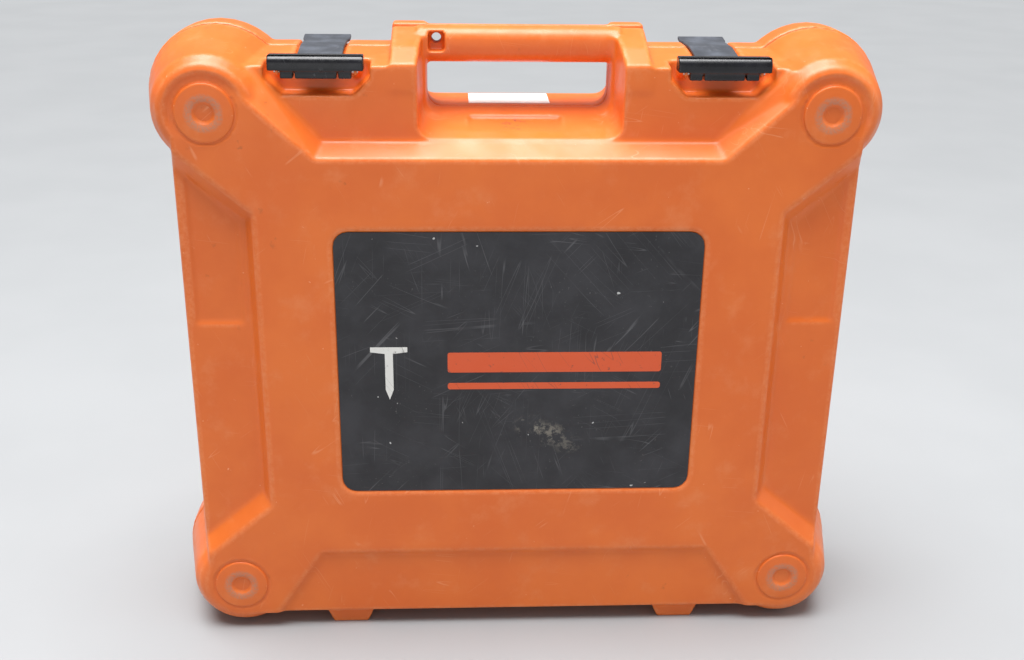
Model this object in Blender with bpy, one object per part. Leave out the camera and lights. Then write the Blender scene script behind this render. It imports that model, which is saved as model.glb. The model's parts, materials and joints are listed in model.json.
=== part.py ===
"""Blow-moulded carry case with a powder-actuated nail gun in its tray.

The case stands on its hinge side: X to the right, the lid's label facing -Y, +Z up. The halves
part at y = 0. Lengths below are in millimetres and become metres in the helpers.
"""

import math

import bmesh
import bpy
from mathutils import Matrix, Vector

MM = 0.001
GAP = 0.3
SEAM = GAP / 2
CUT_TOP = 470.0
CUT_HALF_WIDTH = 260.0
CUT_BOTTOM = -30.0
CUT_DEPTH = 70.0

# Case body
LID_DEPTH = 58.0
BASE_DEPTH = 58.0
STRAIGHT_WALL = 20.0
FACE_HALF_WIDTH = 211.0
SEAM_HALF_WIDTH = 225.0
FACE_BOTTOM = 11.5
SEAM_BOTTOM = 8.0
FACE_TOP = 389.5
SEAM_TOP = 398.0
FACE_CORNER = 16.0
SEAM_CORNER = 8.0
PAD_X = 190.0
PAD_LOW_Z = 36.5
PAD_HIGH_Z = 365.5
PAD_RADIUS = 18.0
PAD_HEIGHT = 1.2
DOME_PROFILE = ((0.0, 24.0), (2.5, 29.0), (9.0, 33.5))
DOME_SEAM_RADIUS = 46.0
DOME_SIDES = 36

# Recesses in each face: depth, and outline at the face and at the recess's floor. The side recess is
# the right-hand one. Outlines run off the case on the open side.
TOP_RECESS = 14.0
TOP_RECESS_FACE = ((-126.0, 337.5), (126.0, 337.5), (216.0, 420.0), (-216.0, 420.0))
TOP_RECESS_FLOOR = ((-122.0, 346.0), (122.0, 346.0), (189.0, 420.0), (-189.0, 420.0))
SIDE_RECESS = 8.0
SIDE_RECESS_FACE = ((165.5, 98.0), (250.0, 27.0), (250.0, 376.0), (165.5, 303.5))
SIDE_RECESS_FLOOR = ((172.0, 105.5), (250.0, 41.0), (250.0, 363.0), (172.0, 296.5))
BOTTOM_RECESS = 3.0
BOTTOM_RECESS_FACE = ((-134.0, 61.5), (134.0, 61.5), (178.0, -5.0), (-178.0, -5.0))
BOTTOM_RECESS_FLOOR = ((-131.0, 58.0), (131.0, 58.0), (173.0, -5.0), (-173.0, -5.0))
GRIP_PANEL = ((176.5, 228.0), (206.5, 228.0), (206.5, 327.0), (176.5, 297.0))
GRIP_PANEL_DEPTH = 1.5
CUT_ABOVE_FACE = 2.0

# Feet under the case
FOOT_X = 116.0
FOOT_TOP_Z = 15.0
FOOT_BOTTOM_Z = -4.0
FOOT_TOP_HALF_WIDTH = 18.9
FOOT_BOTTOM_HALF_WIDTH = 10.8
FOOT_FROM_FACE = (7.0, 24.0)

# Label
LABEL_HALF_WIDTH = 117.6
LABEL_Z = (108.5, 292.0)
LABEL_CORNER = 10.0
LABEL_RECESS = 2.3
LABEL_THICKNESS = 1.4

# Hollow inside each half
CAVITY_HALF_WIDTH = 200.0
CAVITY_SEAM_HALF_WIDTH = 216.0
CAVITY_Z = (18.0, 336.0)
CAVITY_SEAM_Z = (18.0, 342.0)
CAVITY_WALL = 11.0

# Handle, between two shoulders
HANDLE_TOP = 411.0
HANDLE_BOTTOM = 388.0
HANDLE_HALF_DEPTH = 14.0
HANDLE_HALF_LENGTH = 64.0
HANDLE_STEPS = 10
HANDLE_SQUARENESS = 0.75
SHOULDER_HALF_WIDTH = 80.0
SHOULDER_RISE = 0.5
SHOULDER_FOOT_Z = 376.0
OPENING_FLOOR = 360.0
OPENING_HALF_WIDTH = 58.0
OPENING_CORNER = 9.0
NICHE_FRONT_HALF_WIDTH = 63.4
NICHE_BACK_HALF_WIDTH = 61.0
NICHE_TRAY_X = (-32.0, 27.0)
PADLOCK_HOLE = (-52.0, 403.3)
PADLOCK_HOLE_RADIUS = 3.2
PADLOCK_RECESS_HALF_WIDTH = 5.2
PADLOCK_RECESS_Z = (-7.5, 3.9)
PADLOCK_WEB = 6.0
STICKER_X = (-31.5, 21.5)
STICKER_Y = (5.0, 38.5)
STICKER_THICKNESS = 0.3
STICKER_GAP = 0.05

# Latches
LATCH_X = 124.0
POCKET_DEPTH = 16.0
LATCH_HALF_WIDTH = 28.8
LATCH_ROD_Y = -43.0
LATCH_ROD_Z = 388.5
LATCH_ROD_RADIUS = 1.6
STRAP_HALF_WIDTH = 14.0
TAB_HALF_WIDTH = 15.4
STRAP_THICKNESS = 2.2
STRAP_CLEARANCE = 0.8
STRAP_SIDE_ROOM = 1.3
STRAP_GROOVE_DEPTH = 3.0
LATCH_ROD_HALF_LENGTH = 25.2
EAR_OFFSET = 23.5
EAR_WIDTH = 3.0
EAR_NOSE = 2.8
EAR_NOSE_STEPS = 8
COMB_HALF_WIDTH = 21.4
COMB_TOP = 0.4
COMB_SLOT_OFFSET = 13.0
COMB_SLOT_HALF_WIDTH = 0.6

# Hinge along the bottom of the seam
HINGE_Z = 11.0
HINGE_X = 110.0
KNUCKLE_RADIUS = 4.6
KNUCKLE_LENGTH = 14.0
HINGE_PIN_RADIUS = 1.8
KNUCKLE_SIDES = 24
KNUCKLE_STEP = 2 * GAP
HINGE_BORE_HALF_LENGTH = 30.0
PIN_SIDES = 20
RELIEF_SLOPE = math.tan(math.radians(52.0))

# Tray and liner
SKIN = 2.0
TRAY_PLATE = (1.2, 3.4)
PLATE_HALF_WIDTH = 211.0
PLATE_Z = (18.6, 339.5)
TRAY_FLOOR = 40.6

# Tool, lying on its side with its axis along X
TOOL_Y = 15.0
TOOL_Z = 215.0
RECEIVER_X = (-62.0, 118.0)
RECEIVER_RADIUS = 22.5
RECEIVER_BORE = 18.5
BARREL_X = (-150.0, 22.0)
BARREL_RADIUS = 15.0
BARREL_BORE = 9.5
STRIP_X = (39.2, 41.8)
TRIGGER_PIVOT = (78.0, 184.0)
ROUND_SIDES = 32

COLOURS = {
    "orange_shell": ((0.86, 0.22, 0.03), 0.5, 0.0),
    "orange_liner": ((0.80, 0.20, 0.03), 0.6, 0.0),
    "black_plastic": ((0.012, 0.012, 0.014), 0.35, 0.0),
    "label": ((0.02, 0.02, 0.025), 0.4, 0.0),
    "paper": ((0.85, 0.85, 0.82), 0.8, 0.0),
    "steel": ((0.55, 0.56, 0.58), 0.3, 1.0),
    "dark_steel": ((0.09, 0.09, 0.10), 0.4, 1.0),
    "spring_steel": ((0.35, 0.35, 0.37), 0.35, 1.0),
    "grip_plastic": ((0.03, 0.03, 0.032), 0.6, 0.0),
    "rubber": ((0.015, 0.015, 0.015), 0.8, 0.0),
    "dial_red": ((0.55, 0.03, 0.02), 0.4, 0.0),
    "strip_plastic": ((0.75, 0.06, 0.03), 0.45, 0.0),
    "card": ((0.42, 0.30, 0.18), 0.8, 0.0),
    "wood": ((0.45, 0.28, 0.14), 0.6, 0.0),
    "bristle": ((0.6, 0.5, 0.3), 0.8, 0.0),
}


# ---------------------------------------------------------------- helpers


def clear_scene():
    for obj in list(bpy.data.objects):
        bpy.data.objects.remove(obj)


def new_collection(name, hidden=False):
    collection = bpy.data.collections.new(name)
    bpy.context.scene.collection.children.link(collection)
    collection.hide_render = hidden
    return collection


def material(slot):
    if slot in bpy.data.materials:
        return bpy.data.materials[slot]
    colour, roughness, metallic = COLOURS[slot]
    made = bpy.data.materials.new(slot)
    made.use_nodes = True
    shader = made.node_tree.nodes["Principled BSDF"]
    shader.inputs["Base Color"].default_value = (*colour, 1.0)
    shader.inputs["Roughness"].default_value = roughness
    shader.inputs["Metallic"].default_value = metallic
    return made


def add_object(name, work, pivot=(0.0, 0.0, 0.0)):
    """A new object from a bmesh in millimetres, with its origin at the pivot."""
    centre = Vector(pivot)
    bmesh.ops.translate(work, verts=work.verts, vec=-centre)
    bmesh.ops.scale(work, verts=work.verts, vec=(MM, MM, MM))
    bmesh.ops.recalc_face_normals(work, faces=work.faces)
    mesh = bpy.data.meshes.new(name)
    work.to_mesh(mesh)
    work.free()
    obj = bpy.data.objects.new(name, mesh)
    obj.location = centre * MM
    return obj


def as_part(obj, slot):
    parts.objects.link(obj)
    obj.data.materials.clear()
    obj.data.materials.append(material(slot))
    obj.data.shade_smooth()
    obj.data.set_sharp_from_angle(angle=math.radians(35))
    return obj


def as_cutter(obj):
    cutters.objects.link(obj)
    obj.hide_render = True
    obj.display_type = "WIRE"
    return obj


def combine(obj, other, operation):
    """EXACT leaves a few open edges where the handle meets the lid, so the two shells use MANIFOLD."""
    modifier = obj.modifiers.new(other.name, "BOOLEAN")
    modifier.object = as_cutter(other)
    modifier.operation = operation
    modifier.solver = "MANIFOLD" if obj.name.endswith("outer_shell") else "EXACT"
    return obj


def cut(obj, other):
    return combine(obj, other, "DIFFERENCE")


def join(obj, other):
    return combine(obj, other, "UNION")


def box(name, low, high, pivot=(0.0, 0.0, 0.0)):
    work = bmesh.new()
    bmesh.ops.create_cube(work, size=1.0)
    size = [b - a for a, b in zip(low, high)]
    middle = [(a + b) / 2 for a, b in zip(low, high)]
    bmesh.ops.scale(work, verts=work.verts, vec=size)
    bmesh.ops.translate(work, verts=work.verts, vec=middle)
    return add_object(name, work, pivot)


def cylinder(name, start, end, radius, sides=ROUND_SIDES, pivot=(0.0, 0.0, 0.0)):
    """A cylinder from start to end."""
    start, end = Vector(start), Vector(end)
    along = end - start
    work = bmesh.new()
    turn = along.to_track_quat("Z", "Y").to_matrix().to_4x4()
    place = Matrix.Translation((start + end) / 2) @ turn
    size = {"radius1": radius, "radius2": radius, "depth": along.length}
    bmesh.ops.create_cone(work, cap_ends=True, segments=sides, matrix=place, **size)
    return add_object(name, work, pivot)


def loft(name, rings, pivot=(0.0, 0.0, 0.0)):
    """A closed solid through rings of equally many points."""
    work = bmesh.new()
    layers = [[work.verts.new(point) for point in ring] for ring in rings]
    count = len(layers[0])
    for low, high in zip(layers, layers[1:]):
        for i in range(count):
            k = (i + 1) % count
            work.faces.new((low[i], low[k], high[k], high[i]))
    work.faces.new(layers[0])
    work.faces.new(reversed(layers[-1]))
    return add_object(name, work, pivot)


def at_y(outline, y):
    return [(x, y, z) for x, z in outline]


def at_x(outline, x):
    return [(x, y, z) for y, z in outline]


def turned(name, profile, pivot=(0.0, 0.0, 0.0), axis=(TOOL_Y, TOOL_Z), sides=ROUND_SIDES):
    """A solid of revolution about a line along X: profile holds (x, radius) pairs, a closed loop."""
    cy, cz = axis
    work = bmesh.new()
    rings = []
    for x, radius in profile:
        ring = []
        for i in range(sides):
            angle = 2 * math.pi * i / sides
            ring.append(work.verts.new((x, cy + radius * math.cos(angle), cz + radius * math.sin(angle))))
        rings.append(ring)
    for low, high in zip(rings, rings[1:] + rings[:1]):
        for i in range(sides):
            k = (i + 1) % sides
            work.faces.new((low[i], low[k], high[k], high[i]))
    return add_object(name, work, pivot)


def tube(name, x_range, outer, inner, **kwargs):
    a, b = x_range
    return turned(name, ((a, inner), (a, outer), (b, outer), (b, inner)), **kwargs)


def shaft(name, x_range, radius, axis=(TOOL_Y, TOOL_Z), **kwargs):
    a, b = x_range
    return cylinder(name, (a, *axis), (b, *axis), radius, **kwargs)


def rounded_rectangle(x_range, z_range, radius, steps=4):
    (x0, x1), (z0, z1) = x_range, z_range
    centres = ((x1 - radius, z1 - radius), (x0 + radius, z1 - radius), (x0 + radius, z0 + radius))
    centres += ((x1 - radius, z0 + radius),)
    outline = []
    for quarter, (cx, cz) in enumerate(centres):
        for i in range(steps + 1):
            angle = math.pi / 2 * (quarter + i / steps)
            outline.append((cx + radius * math.cos(angle), cz + radius * math.sin(angle)))
    return outline


def mirror_x(outline):
    return [(-x, z) for x, z in outline]


def coil(name, x_range, radius, wire, turns, steps=12, sides=3):
    """An open helical spring about the tool's axis, as a curve made into a mesh."""
    curve = bpy.data.curves.new(name, "CURVE")
    curve.dimensions = "3D"
    curve.bevel_depth = wire * MM
    curve.bevel_resolution = sides - 2
    curve.use_fill_caps = True
    spline = curve.splines.new("POLY")
    count = int(turns * steps) + 1
    spline.points.add(count - 1)
    a, b = x_range
    for i in range(count):
        angle = 2 * math.pi * i / steps
        x = a + (b - a) * i / (count - 1)
        y = TOOL_Y + radius * math.cos(angle)
        z = TOOL_Z + radius * math.sin(angle)
        spline.points[i].co = (x * MM, y * MM, z * MM, 1.0)
    return curve_to_mesh(name, curve)


def curve_to_mesh(name, curve):
    guide = bpy.data.objects.new(name + "_guide", curve)
    bpy.context.scene.collection.objects.link(guide)
    bpy.context.view_layer.update()
    graph = bpy.context.evaluated_depsgraph_get()
    mesh = bpy.data.meshes.new_from_object(guide.evaluated_get(graph))
    work = bmesh.new()
    work.from_mesh(mesh)
    bmesh.ops.remove_doubles(work, verts=work.verts, dist=0.00001)
    bmesh.ops.recalc_face_normals(work, faces=work.faces)
    work.to_mesh(mesh)
    work.free()
    obj = bpy.data.objects.new(name, mesh)
    obj.matrix_world = guide.matrix_world
    bpy.data.objects.remove(guide)
    return obj


# ---------------------------------------------------------------- case halves


class Half:
    """One half of the case: side is -1 for the lid and +1 for the base.

    The floor of its handle niche runs from niche_floor at the front to sill beside the handle.
    """

    def __init__(self, name, side, depth, straight, niche_floor, sill):
        self.name = name
        self.side = side
        self.depth = depth
        self.straight = straight
        self.niche_floor = niche_floor
        self.sill = sill

    def y(self, inwards):
        """World y of a plane that lies this far in from the half's face."""
        return self.side * (self.depth - inwards)

    def beyond(self, distance):
        """World y of a plane this far past the seam, where seam_cut trims it."""
        return -self.side * distance

    def out(self, distance):
        """World y of a plane that lies this far out from the seam."""
        return self.side * distance


LID = Half("lid", -1, LID_DEPTH, 0.0, niche_floor=347.0, sill=356.0)
BASE = Half("base", 1, BASE_DEPTH, STRAIGHT_WALL, niche_floor=OPENING_FLOOR, sill=OPENING_FLOOR)


def rectangle(half_width, bottom, top):
    return [(-half_width, bottom), (half_width, bottom), (half_width, top), (-half_width, top)]


def clipped_rectangle(half_width, bottom, top, corner):
    """A rectangle whose corners are cut off, so that they stay inside the domes."""
    right = [
        (half_width - corner, bottom),
        (half_width, bottom + corner),
        (half_width, top - corner),
        (half_width - corner, top),
    ]
    return right + mirror_x(reversed(right))


def body_block(half):
    face_outline = clipped_rectangle(FACE_HALF_WIDTH, FACE_BOTTOM, FACE_TOP, FACE_CORNER)
    rings = [at_y(face_outline, half.y(0))]
    seam_outline = clipped_rectangle(SEAM_HALF_WIDTH, SEAM_BOTTOM, SEAM_TOP, SEAM_CORNER)
    if half.straight:
        rings.append(at_y(seam_outline, half.out(half.straight)))
    rings.append(at_y(seam_outline, half.beyond(1.0)))
    return loft(half.name + "_outer_shell", rings)


def dome(half, x, z):
    profile = [(half.y(inwards), radius) for inwards, radius in DOME_PROFILE]
    if half.straight:
        profile.append((half.out(half.straight), DOME_SEAM_RADIUS))
    profile.append((half.beyond(2.0), DOME_SEAM_RADIUS))
    rings = []
    for y, radius in profile:
        ring = []
        for i in range(DOME_SIDES):
            angle = 2 * math.pi * i / DOME_SIDES
            ring.append((x + radius * math.cos(angle), y, z + radius * math.sin(angle)))
        rings.append(ring)
    return loft(f"{half.name}_dome_{int(x)}_{int(z)}", rings)


def wear_pad(half, x, z):
    name = f"{half.name}_pad_{int(x)}_{int(z)}"
    return cylinder(name, (x, half.y(-PAD_HEIGHT), z), (x, half.y(5.0), z), PAD_RADIUS)


def recess(half, name, face, floor, depth):
    """A cutter that tapers from its outline at the face to the one at the recess's floor."""
    rings = [at_y(face, half.y(-CUT_ABOVE_FACE)), at_y(face, half.y(0)), at_y(floor, half.y(depth))]
    return loft(f"{half.name}_{name}", rings)


def top_recess(half):
    return recess(half, "top_recess", TOP_RECESS_FACE, TOP_RECESS_FLOOR, TOP_RECESS)


def side_recess(half, sign):
    face, floor = SIDE_RECESS_FACE, SIDE_RECESS_FLOOR
    if sign < 0:
        face, floor = mirror_x(face), mirror_x(floor)
    return recess(half, f"side_recess_{sign}", face, floor, SIDE_RECESS)


def bottom_recess(half):
    return recess(half, "bottom_recess", BOTTOM_RECESS_FACE, BOTTOM_RECESS_FLOOR, BOTTOM_RECESS)


def cavity(half):
    deep = rectangle(CAVITY_HALF_WIDTH, *CAVITY_Z)
    wide = rectangle(CAVITY_SEAM_HALF_WIDTH, *CAVITY_SEAM_Z)
    rings = [at_y(deep, half.y(CAVITY_WALL)), at_y(wide, half.beyond(8.0))]
    return loft(half.name + "_cavity", rings)


def foot_tab(half, x):
    """A tapered tab under the front edge that shares the floor with the domes."""
    outline = [
        (x - FOOT_TOP_HALF_WIDTH, FOOT_TOP_Z),
        (x + FOOT_TOP_HALF_WIDTH, FOOT_TOP_Z),
        (x + FOOT_BOTTOM_HALF_WIDTH, FOOT_BOTTOM_Z),
        (x - FOOT_BOTTOM_HALF_WIDTH, FOOT_BOTTOM_Z),
    ]
    return loft(f"{half.name}_tab_{int(x)}", [at_y(outline, half.y(inwards)) for inwards in FOOT_FROM_FACE])


def shoulders(half):
    """The wedge that carries the handle's ends: the niche cuts away its middle."""
    outline = [
        (half.y(TOP_RECESS - 0.5), 392.6),
        (half.y(30.0), 401.0),
        (half.beyond(3.0), HANDLE_TOP + SHOULDER_RISE),
        (half.beyond(3.0), SHOULDER_FOOT_Z),
        (half.y(TOP_RECESS - 0.5), SHOULDER_FOOT_Z),
    ]
    if half.straight:
        outline.insert(2, (half.out(HANDLE_HALF_DEPTH), HANDLE_TOP + SHOULDER_RISE))
    rings = [at_x(outline, -SHOULDER_HALF_WIDTH), at_x(outline, SHOULDER_HALF_WIDTH)]
    return loft(half.name + "_shoulders", rings)


def upright_outline(half_width, floor):
    """A slot open at the top, with rounded corners at its floor."""
    return rounded_rectangle((-half_width, half_width), (floor, CUT_TOP), OPENING_CORNER)


def niche(half):
    """The hollow below and in front of the handle."""
    front = upright_outline(NICHE_FRONT_HALF_WIDTH, half.niche_floor)
    back = upright_outline(NICHE_BACK_HALF_WIDTH, half.sill)
    rings = [at_y(front, half.y(-CUT_ABOVE_FACE)), at_y(front, half.y(TOP_RECESS))]
    rings.append(at_y(back, half.out(HANDLE_HALF_DEPTH)))
    return loft(half.name + "_niche", rings)


def niche_tray():
    """A shallow ledge sunk in the lid's niche floor, stepped at the back and open at the front."""
    outline = [(-13.5, 353.8), (-13.5, HANDLE_BOTTOM), (-33.0, HANDLE_BOTTOM), (-33.0, 349.8)]
    return loft("niche_tray", [at_x(outline, x) for x in NICHE_TRAY_X])


def handle_opening(half):
    outer = upright_outline(OPENING_HALF_WIDTH + 0.6, half.sill)
    inner = upright_outline(OPENING_HALF_WIDTH, OPENING_FLOOR)
    rings = [at_y(outer, half.out(HANDLE_HALF_DEPTH + 0.5)), at_y(inner, half.out(SEAM))]
    rings.append(at_y(inner, half.beyond(6.0)))
    return loft(half.name + "_handle_opening", rings)


def handle_bar(half):
    """The handle's half section is a squared-off half ellipse."""
    middle = (HANDLE_TOP + HANDLE_BOTTOM) / 2
    half_height = (HANDLE_TOP - HANDLE_BOTTOM) / 2
    outline = [(half.beyond(4.0), HANDLE_BOTTOM)]
    for i in range(HANDLE_STEPS + 1):
        angle = math.pi * (i / HANDLE_STEPS - 0.5)
        across = HANDLE_HALF_DEPTH * math.cos(angle) ** HANDLE_SQUARENESS
        up = half_height * math.copysign(abs(math.sin(angle)) ** HANDLE_SQUARENESS, angle)
        outline.append((half.out(max(across, SEAM)), middle + up))
    outline.append((half.beyond(4.0), HANDLE_TOP))
    rings = [at_x(outline, -HANDLE_HALF_LENGTH), at_x(outline, HANDLE_HALF_LENGTH)]
    return loft(half.name + "_handle_bar", rings)


def padlock_recess(half):
    x, z = PADLOCK_HOLE
    near, far = sorted((half.out(PADLOCK_WEB), half.out(20.0)))
    low = (x - PADLOCK_RECESS_HALF_WIDTH, near, z + PADLOCK_RECESS_Z[0])
    high = (x + PADLOCK_RECESS_HALF_WIDTH, far, z + PADLOCK_RECESS_Z[1])
    return box(half.name + "_padlock_recess", low, high)


def padlock_hole(half):
    x, z = PADLOCK_HOLE
    name = half.name + "_padlock_hole"
    return cylinder(name, (x, half.beyond(7.0), z), (x, half.out(20.0), z), PADLOCK_HOLE_RADIUS, sides=20)


def hinge_relief(half):
    """Below the hinge the halves slope apart, so that the lid can swing past a right angle."""
    foot = half.out((HINGE_Z + 2.0) * RELIEF_SLOPE)
    outline = [(half.beyond(1.0), HINGE_Z), (half.out(0.0), HINGE_Z), (foot, -2.0), (half.beyond(1.0), -2.0)]
    return loft(half.name + "_hinge_relief", [at_x(outline, -CUT_HALF_WIDTH), at_x(outline, CUT_HALF_WIDTH)])


def seam_cut(half):
    """Trims everything that was built past the seam."""
    far, near = half.beyond(CUT_DEPTH), half.out(SEAM)
    low = (-CUT_HALF_WIDTH, min(far, near), CUT_BOTTOM)
    return box(half.name + "_seam_cut", low, (CUT_HALF_WIDTH, max(far, near), CUT_TOP))


def sole_cut(half):
    """Trims the lower domes flat where they stand on the floor."""
    far = half.out(CUT_DEPTH)
    low = (-CUT_HALF_WIDTH, min(0.0, far), CUT_BOTTOM)
    high = (CUT_HALF_WIDTH, max(0.0, far), 0.0)
    return box(half.name + "_sole_cut", low, high)


def knuckle_spans(sign):
    """X ranges of the lid's knuckle and of the base's two at one hinge."""
    middle = sign * HINGE_X
    half_length = KNUCKLE_LENGTH / 2
    lid = [(middle - half_length, middle + half_length)]
    step = KNUCKLE_LENGTH + KNUCKLE_STEP
    base = [(a - step, b - step) for a, b in lid] + [(a + step, b + step) for a, b in lid]
    return lid, base


def hinge_knuckle(half, span):
    a, b = span
    name = f"{half.name}_knuckle_{int(a)}"
    return cylinder(name, (a, 0.0, HINGE_Z), (b, 0.0, HINGE_Z), KNUCKLE_RADIUS, sides=KNUCKLE_SIDES)


def knuckle_web(half, span):
    """Ties a knuckle to the thick bottom wall of its own half."""
    a, b = span
    outline = [
        (half.out(0.3), HINGE_Z + 0.6),
        (half.out(0.3), HINGE_Z + 4.4),
        (half.out(8.0), HINGE_Z + 6.0),
        (half.out(8.0), HINGE_Z - 2.6),
        (half.out(4.0), HINGE_Z - 2.6),
    ]
    return loft(f"{half.name}_web_{int(a)}", [at_x(outline, a + 1.0), at_x(outline, b - 1.0)])


def knuckle_room(half, span):
    a, b = span
    name = f"{half.name}_knuckle_room_{int(a)}"
    start, end = (a - 1.5 * GAP, 0.0, HINGE_Z), (b + 1.5 * GAP, 0.0, HINGE_Z)
    return cylinder(name, start, end, KNUCKLE_RADIUS + 2 * GAP, sides=KNUCKLE_SIDES)


def hinge_bore(half, sign):
    a, b = sign * HINGE_X - HINGE_BORE_HALF_LENGTH, sign * HINGE_X + HINGE_BORE_HALF_LENGTH
    name = f"{half.name}_hinge_bore_{sign}"
    return cylinder(name, (a, 0.0, HINGE_Z), (b, 0.0, HINGE_Z), HINGE_PIN_RADIUS + GAP, sides=PIN_SIDES)


def add_hinge(shell, half):
    for sign in (-1, 1):
        lid_spans, base_spans = knuckle_spans(sign)
        own, other = (lid_spans, base_spans) if half is LID else (base_spans, lid_spans)
        for span in other:
            cut(shell, knuckle_room(half, span))
        for span in own:
            join(shell, knuckle_web(half, span))
            join(shell, hinge_knuckle(half, span))
        cut(shell, hinge_bore(half, sign))


def rough_half(half):
    """The shell with everything that both halves share."""
    shell = body_block(half)
    for x in (-FOOT_X, FOOT_X):
        join(shell, foot_tab(half, x))
    cut(shell, top_recess(half))
    for sign in (-1, 1):
        cut(shell, side_recess(half, sign))
    cut(shell, bottom_recess(half))
    for x in (-PAD_X, PAD_X):
        for z in (PAD_LOW_Z, PAD_HIGH_Z):
            join(shell, dome(half, x, z))
            join(shell, wear_pad(half, x, z))
    join(shell, shoulders(half))
    cut(shell, niche(half))
    cut(shell, handle_opening(half))
    join(shell, handle_bar(half))
    cut(shell, padlock_recess(half))
    cut(shell, padlock_hole(half))
    cut(shell, cavity(half))
    cut(shell, seam_cut(half))
    cut(shell, hinge_relief(half))
    cut(shell, sole_cut(half))
    add_hinge(shell, half)
    return shell


def band_top(y):
    """Height of the top band's surface on the lid at world y."""
    inwards = y + LID_DEPTH
    slope = (SEAM_TOP - FACE_TOP) / LID_DEPTH
    return FACE_TOP + slope * inwards


def latch_pocket(x):
    outline = [
        (x - 32.0, 430.0),
        (x - 32.0, 384.0),
        (x - 21.7, 373.8),
        (x + 21.7, 373.8),
        (x + 32.0, 384.0),
        (x + 32.0, 430.0),
    ]
    rings = [at_y(outline, LID.y(TOP_RECESS - 2.0)), at_y(outline, LID.y(TOP_RECESS + POCKET_DEPTH))]
    return loft(f"latch_pocket_{int(x)}", rings)


def strap_groove(x):
    """A shallow channel over the top of both halves, in which the strap lies."""
    half_width = STRAP_HALF_WIDTH + STRAP_SIDE_ROOM
    front = LID.y(TOP_RECESS)
    outline = [
        (front, band_top(front) - STRAP_GROOVE_DEPTH),
        (0.0, SEAM_TOP - STRAP_GROOVE_DEPTH),
        (STRAIGHT_WALL + 8.0, SEAM_TOP - STRAP_GROOVE_DEPTH),
        (STRAIGHT_WALL + 8.0, SEAM_TOP + 20.0),
        (front, SEAM_TOP + 20.0),
    ]
    return loft(f"strap_groove_{int(x)}", [at_x(outline, x - half_width), at_x(outline, x + half_width)])


def tab_scoop(x):
    """Room for a fingertip under the strap's pull tab."""
    outline = [
        (STRAIGHT_WALL + 4.0, SEAM_TOP - STRAP_GROOVE_DEPTH),
        (STRAIGHT_WALL + 12.0, SEAM_TOP - 9.0),
        (BASE_DEPTH + 4.0, SEAM_TOP - 11.0),
        (BASE_DEPTH + 4.0, SEAM_TOP + 20.0),
        (STRAIGHT_WALL + 4.0, SEAM_TOP + 20.0),
    ]
    return loft(f"tab_scoop_{int(x)}", [at_x(outline, x - 19.0), at_x(outline, x + 19.0)])


def catch_rib(x):
    """The low rib on the base that the strap's lip snaps behind."""
    floor = SEAM_TOP - STRAP_GROOVE_DEPTH
    outline = [
        (10.0, floor - 1.0),
        (11.5, floor + 0.55),
        (13.5, floor + 0.55),
        (14.5, floor - 1.0),
    ]
    return loft(f"catch_rib_{int(x)}", [at_x(outline, x - 10.0), at_x(outline, x + 10.0)])


def lip_notch(x):
    floor = SEAM_TOP - STRAP_GROOVE_DEPTH
    return box(f"lip_notch_{int(x)}", (x - 12.0, 14.5, floor - 1.6), (x + 12.0, 18.5, floor + 1.0))


def latch_ear(x, offset):
    """A moulded lug in the pocket, round in front where the latch turns about its rod."""
    middle = x + offset
    name = f"latch_ear_{int(middle)}"
    outline = []
    for i in range(EAR_NOSE_STEPS + 1):
        angle = math.pi * (1.5 - i / EAR_NOSE_STEPS)
        outline.append((LATCH_ROD_Y + EAR_NOSE * math.cos(angle), LATCH_ROD_Z + EAR_NOSE * math.sin(angle)))
    root_y = LID.y(TOP_RECESS + POCKET_DEPTH) + 2.0
    outline += [
        (root_y, LATCH_ROD_Z + 1.5),
        (root_y, LATCH_ROD_Z - 7.0),
        (LATCH_ROD_Y + 4.4, LATCH_ROD_Z - 1.8),
        (LATCH_ROD_Y + 2.6, LATCH_ROD_Z - 1.6),
    ]
    a, b = middle - EAR_WIDTH / 2, middle + EAR_WIDTH / 2
    return loft(name, [at_x(outline, a), at_x(outline, b)])


def rod_bore(x, radius):
    a, b = x - 27.0, x + 27.0
    name = f"rod_bore_{int(x)}_{int(radius * 100)}"
    return cylinder(name, (a, LATCH_ROD_Y, LATCH_ROD_Z), (b, LATCH_ROD_Y, LATCH_ROD_Z), radius, sides=16)


def label_recess():
    outline = rounded_rectangle((-LABEL_HALF_WIDTH, LABEL_HALF_WIDTH), LABEL_Z, LABEL_CORNER)
    return loft("label_recess", [at_y(outline, LID.y(-2.0)), at_y(outline, LID.y(LABEL_RECESS))])


def grip_panel(sign):
    """A shallow panel sunk in the upper half of a side recess."""
    outline = GRIP_PANEL if sign > 0 else mirror_x(GRIP_PANEL)
    near, far = LID.y(SIDE_RECESS - CUT_ABOVE_FACE), LID.y(SIDE_RECESS + GRIP_PANEL_DEPTH)
    return loft(f"grip_panel_{sign}", [at_y(outline, near), at_y(outline, far)])


def make_lid_shell():
    shell = rough_half(LID)
    cut(shell, label_recess())
    cut(shell, niche_tray())
    for sign in (-1, 1):
        x = sign * LATCH_X
        cut(shell, grip_panel(sign))
        cut(shell, latch_pocket(x))
        cut(shell, strap_groove(x))
        for offset in (-EAR_OFFSET, EAR_OFFSET):
            join(shell, latch_ear(x, offset))
        cut(shell, rod_bore(x, LATCH_ROD_RADIUS + GAP))
    return as_part(shell, "orange_shell")


def make_base_shell():
    shell = rough_half(BASE)
    for sign in (-1, 1):
        x = sign * LATCH_X
        groove = strap_groove(x)
        groove.name = f"base_strap_groove_{int(x)}"
        cut(shell, groove)
        cut(shell, tab_scoop(x))
        cut(shell, lip_notch(x))
        join(shell, catch_rib(x))
    return as_part(shell, "orange_shell")


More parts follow.
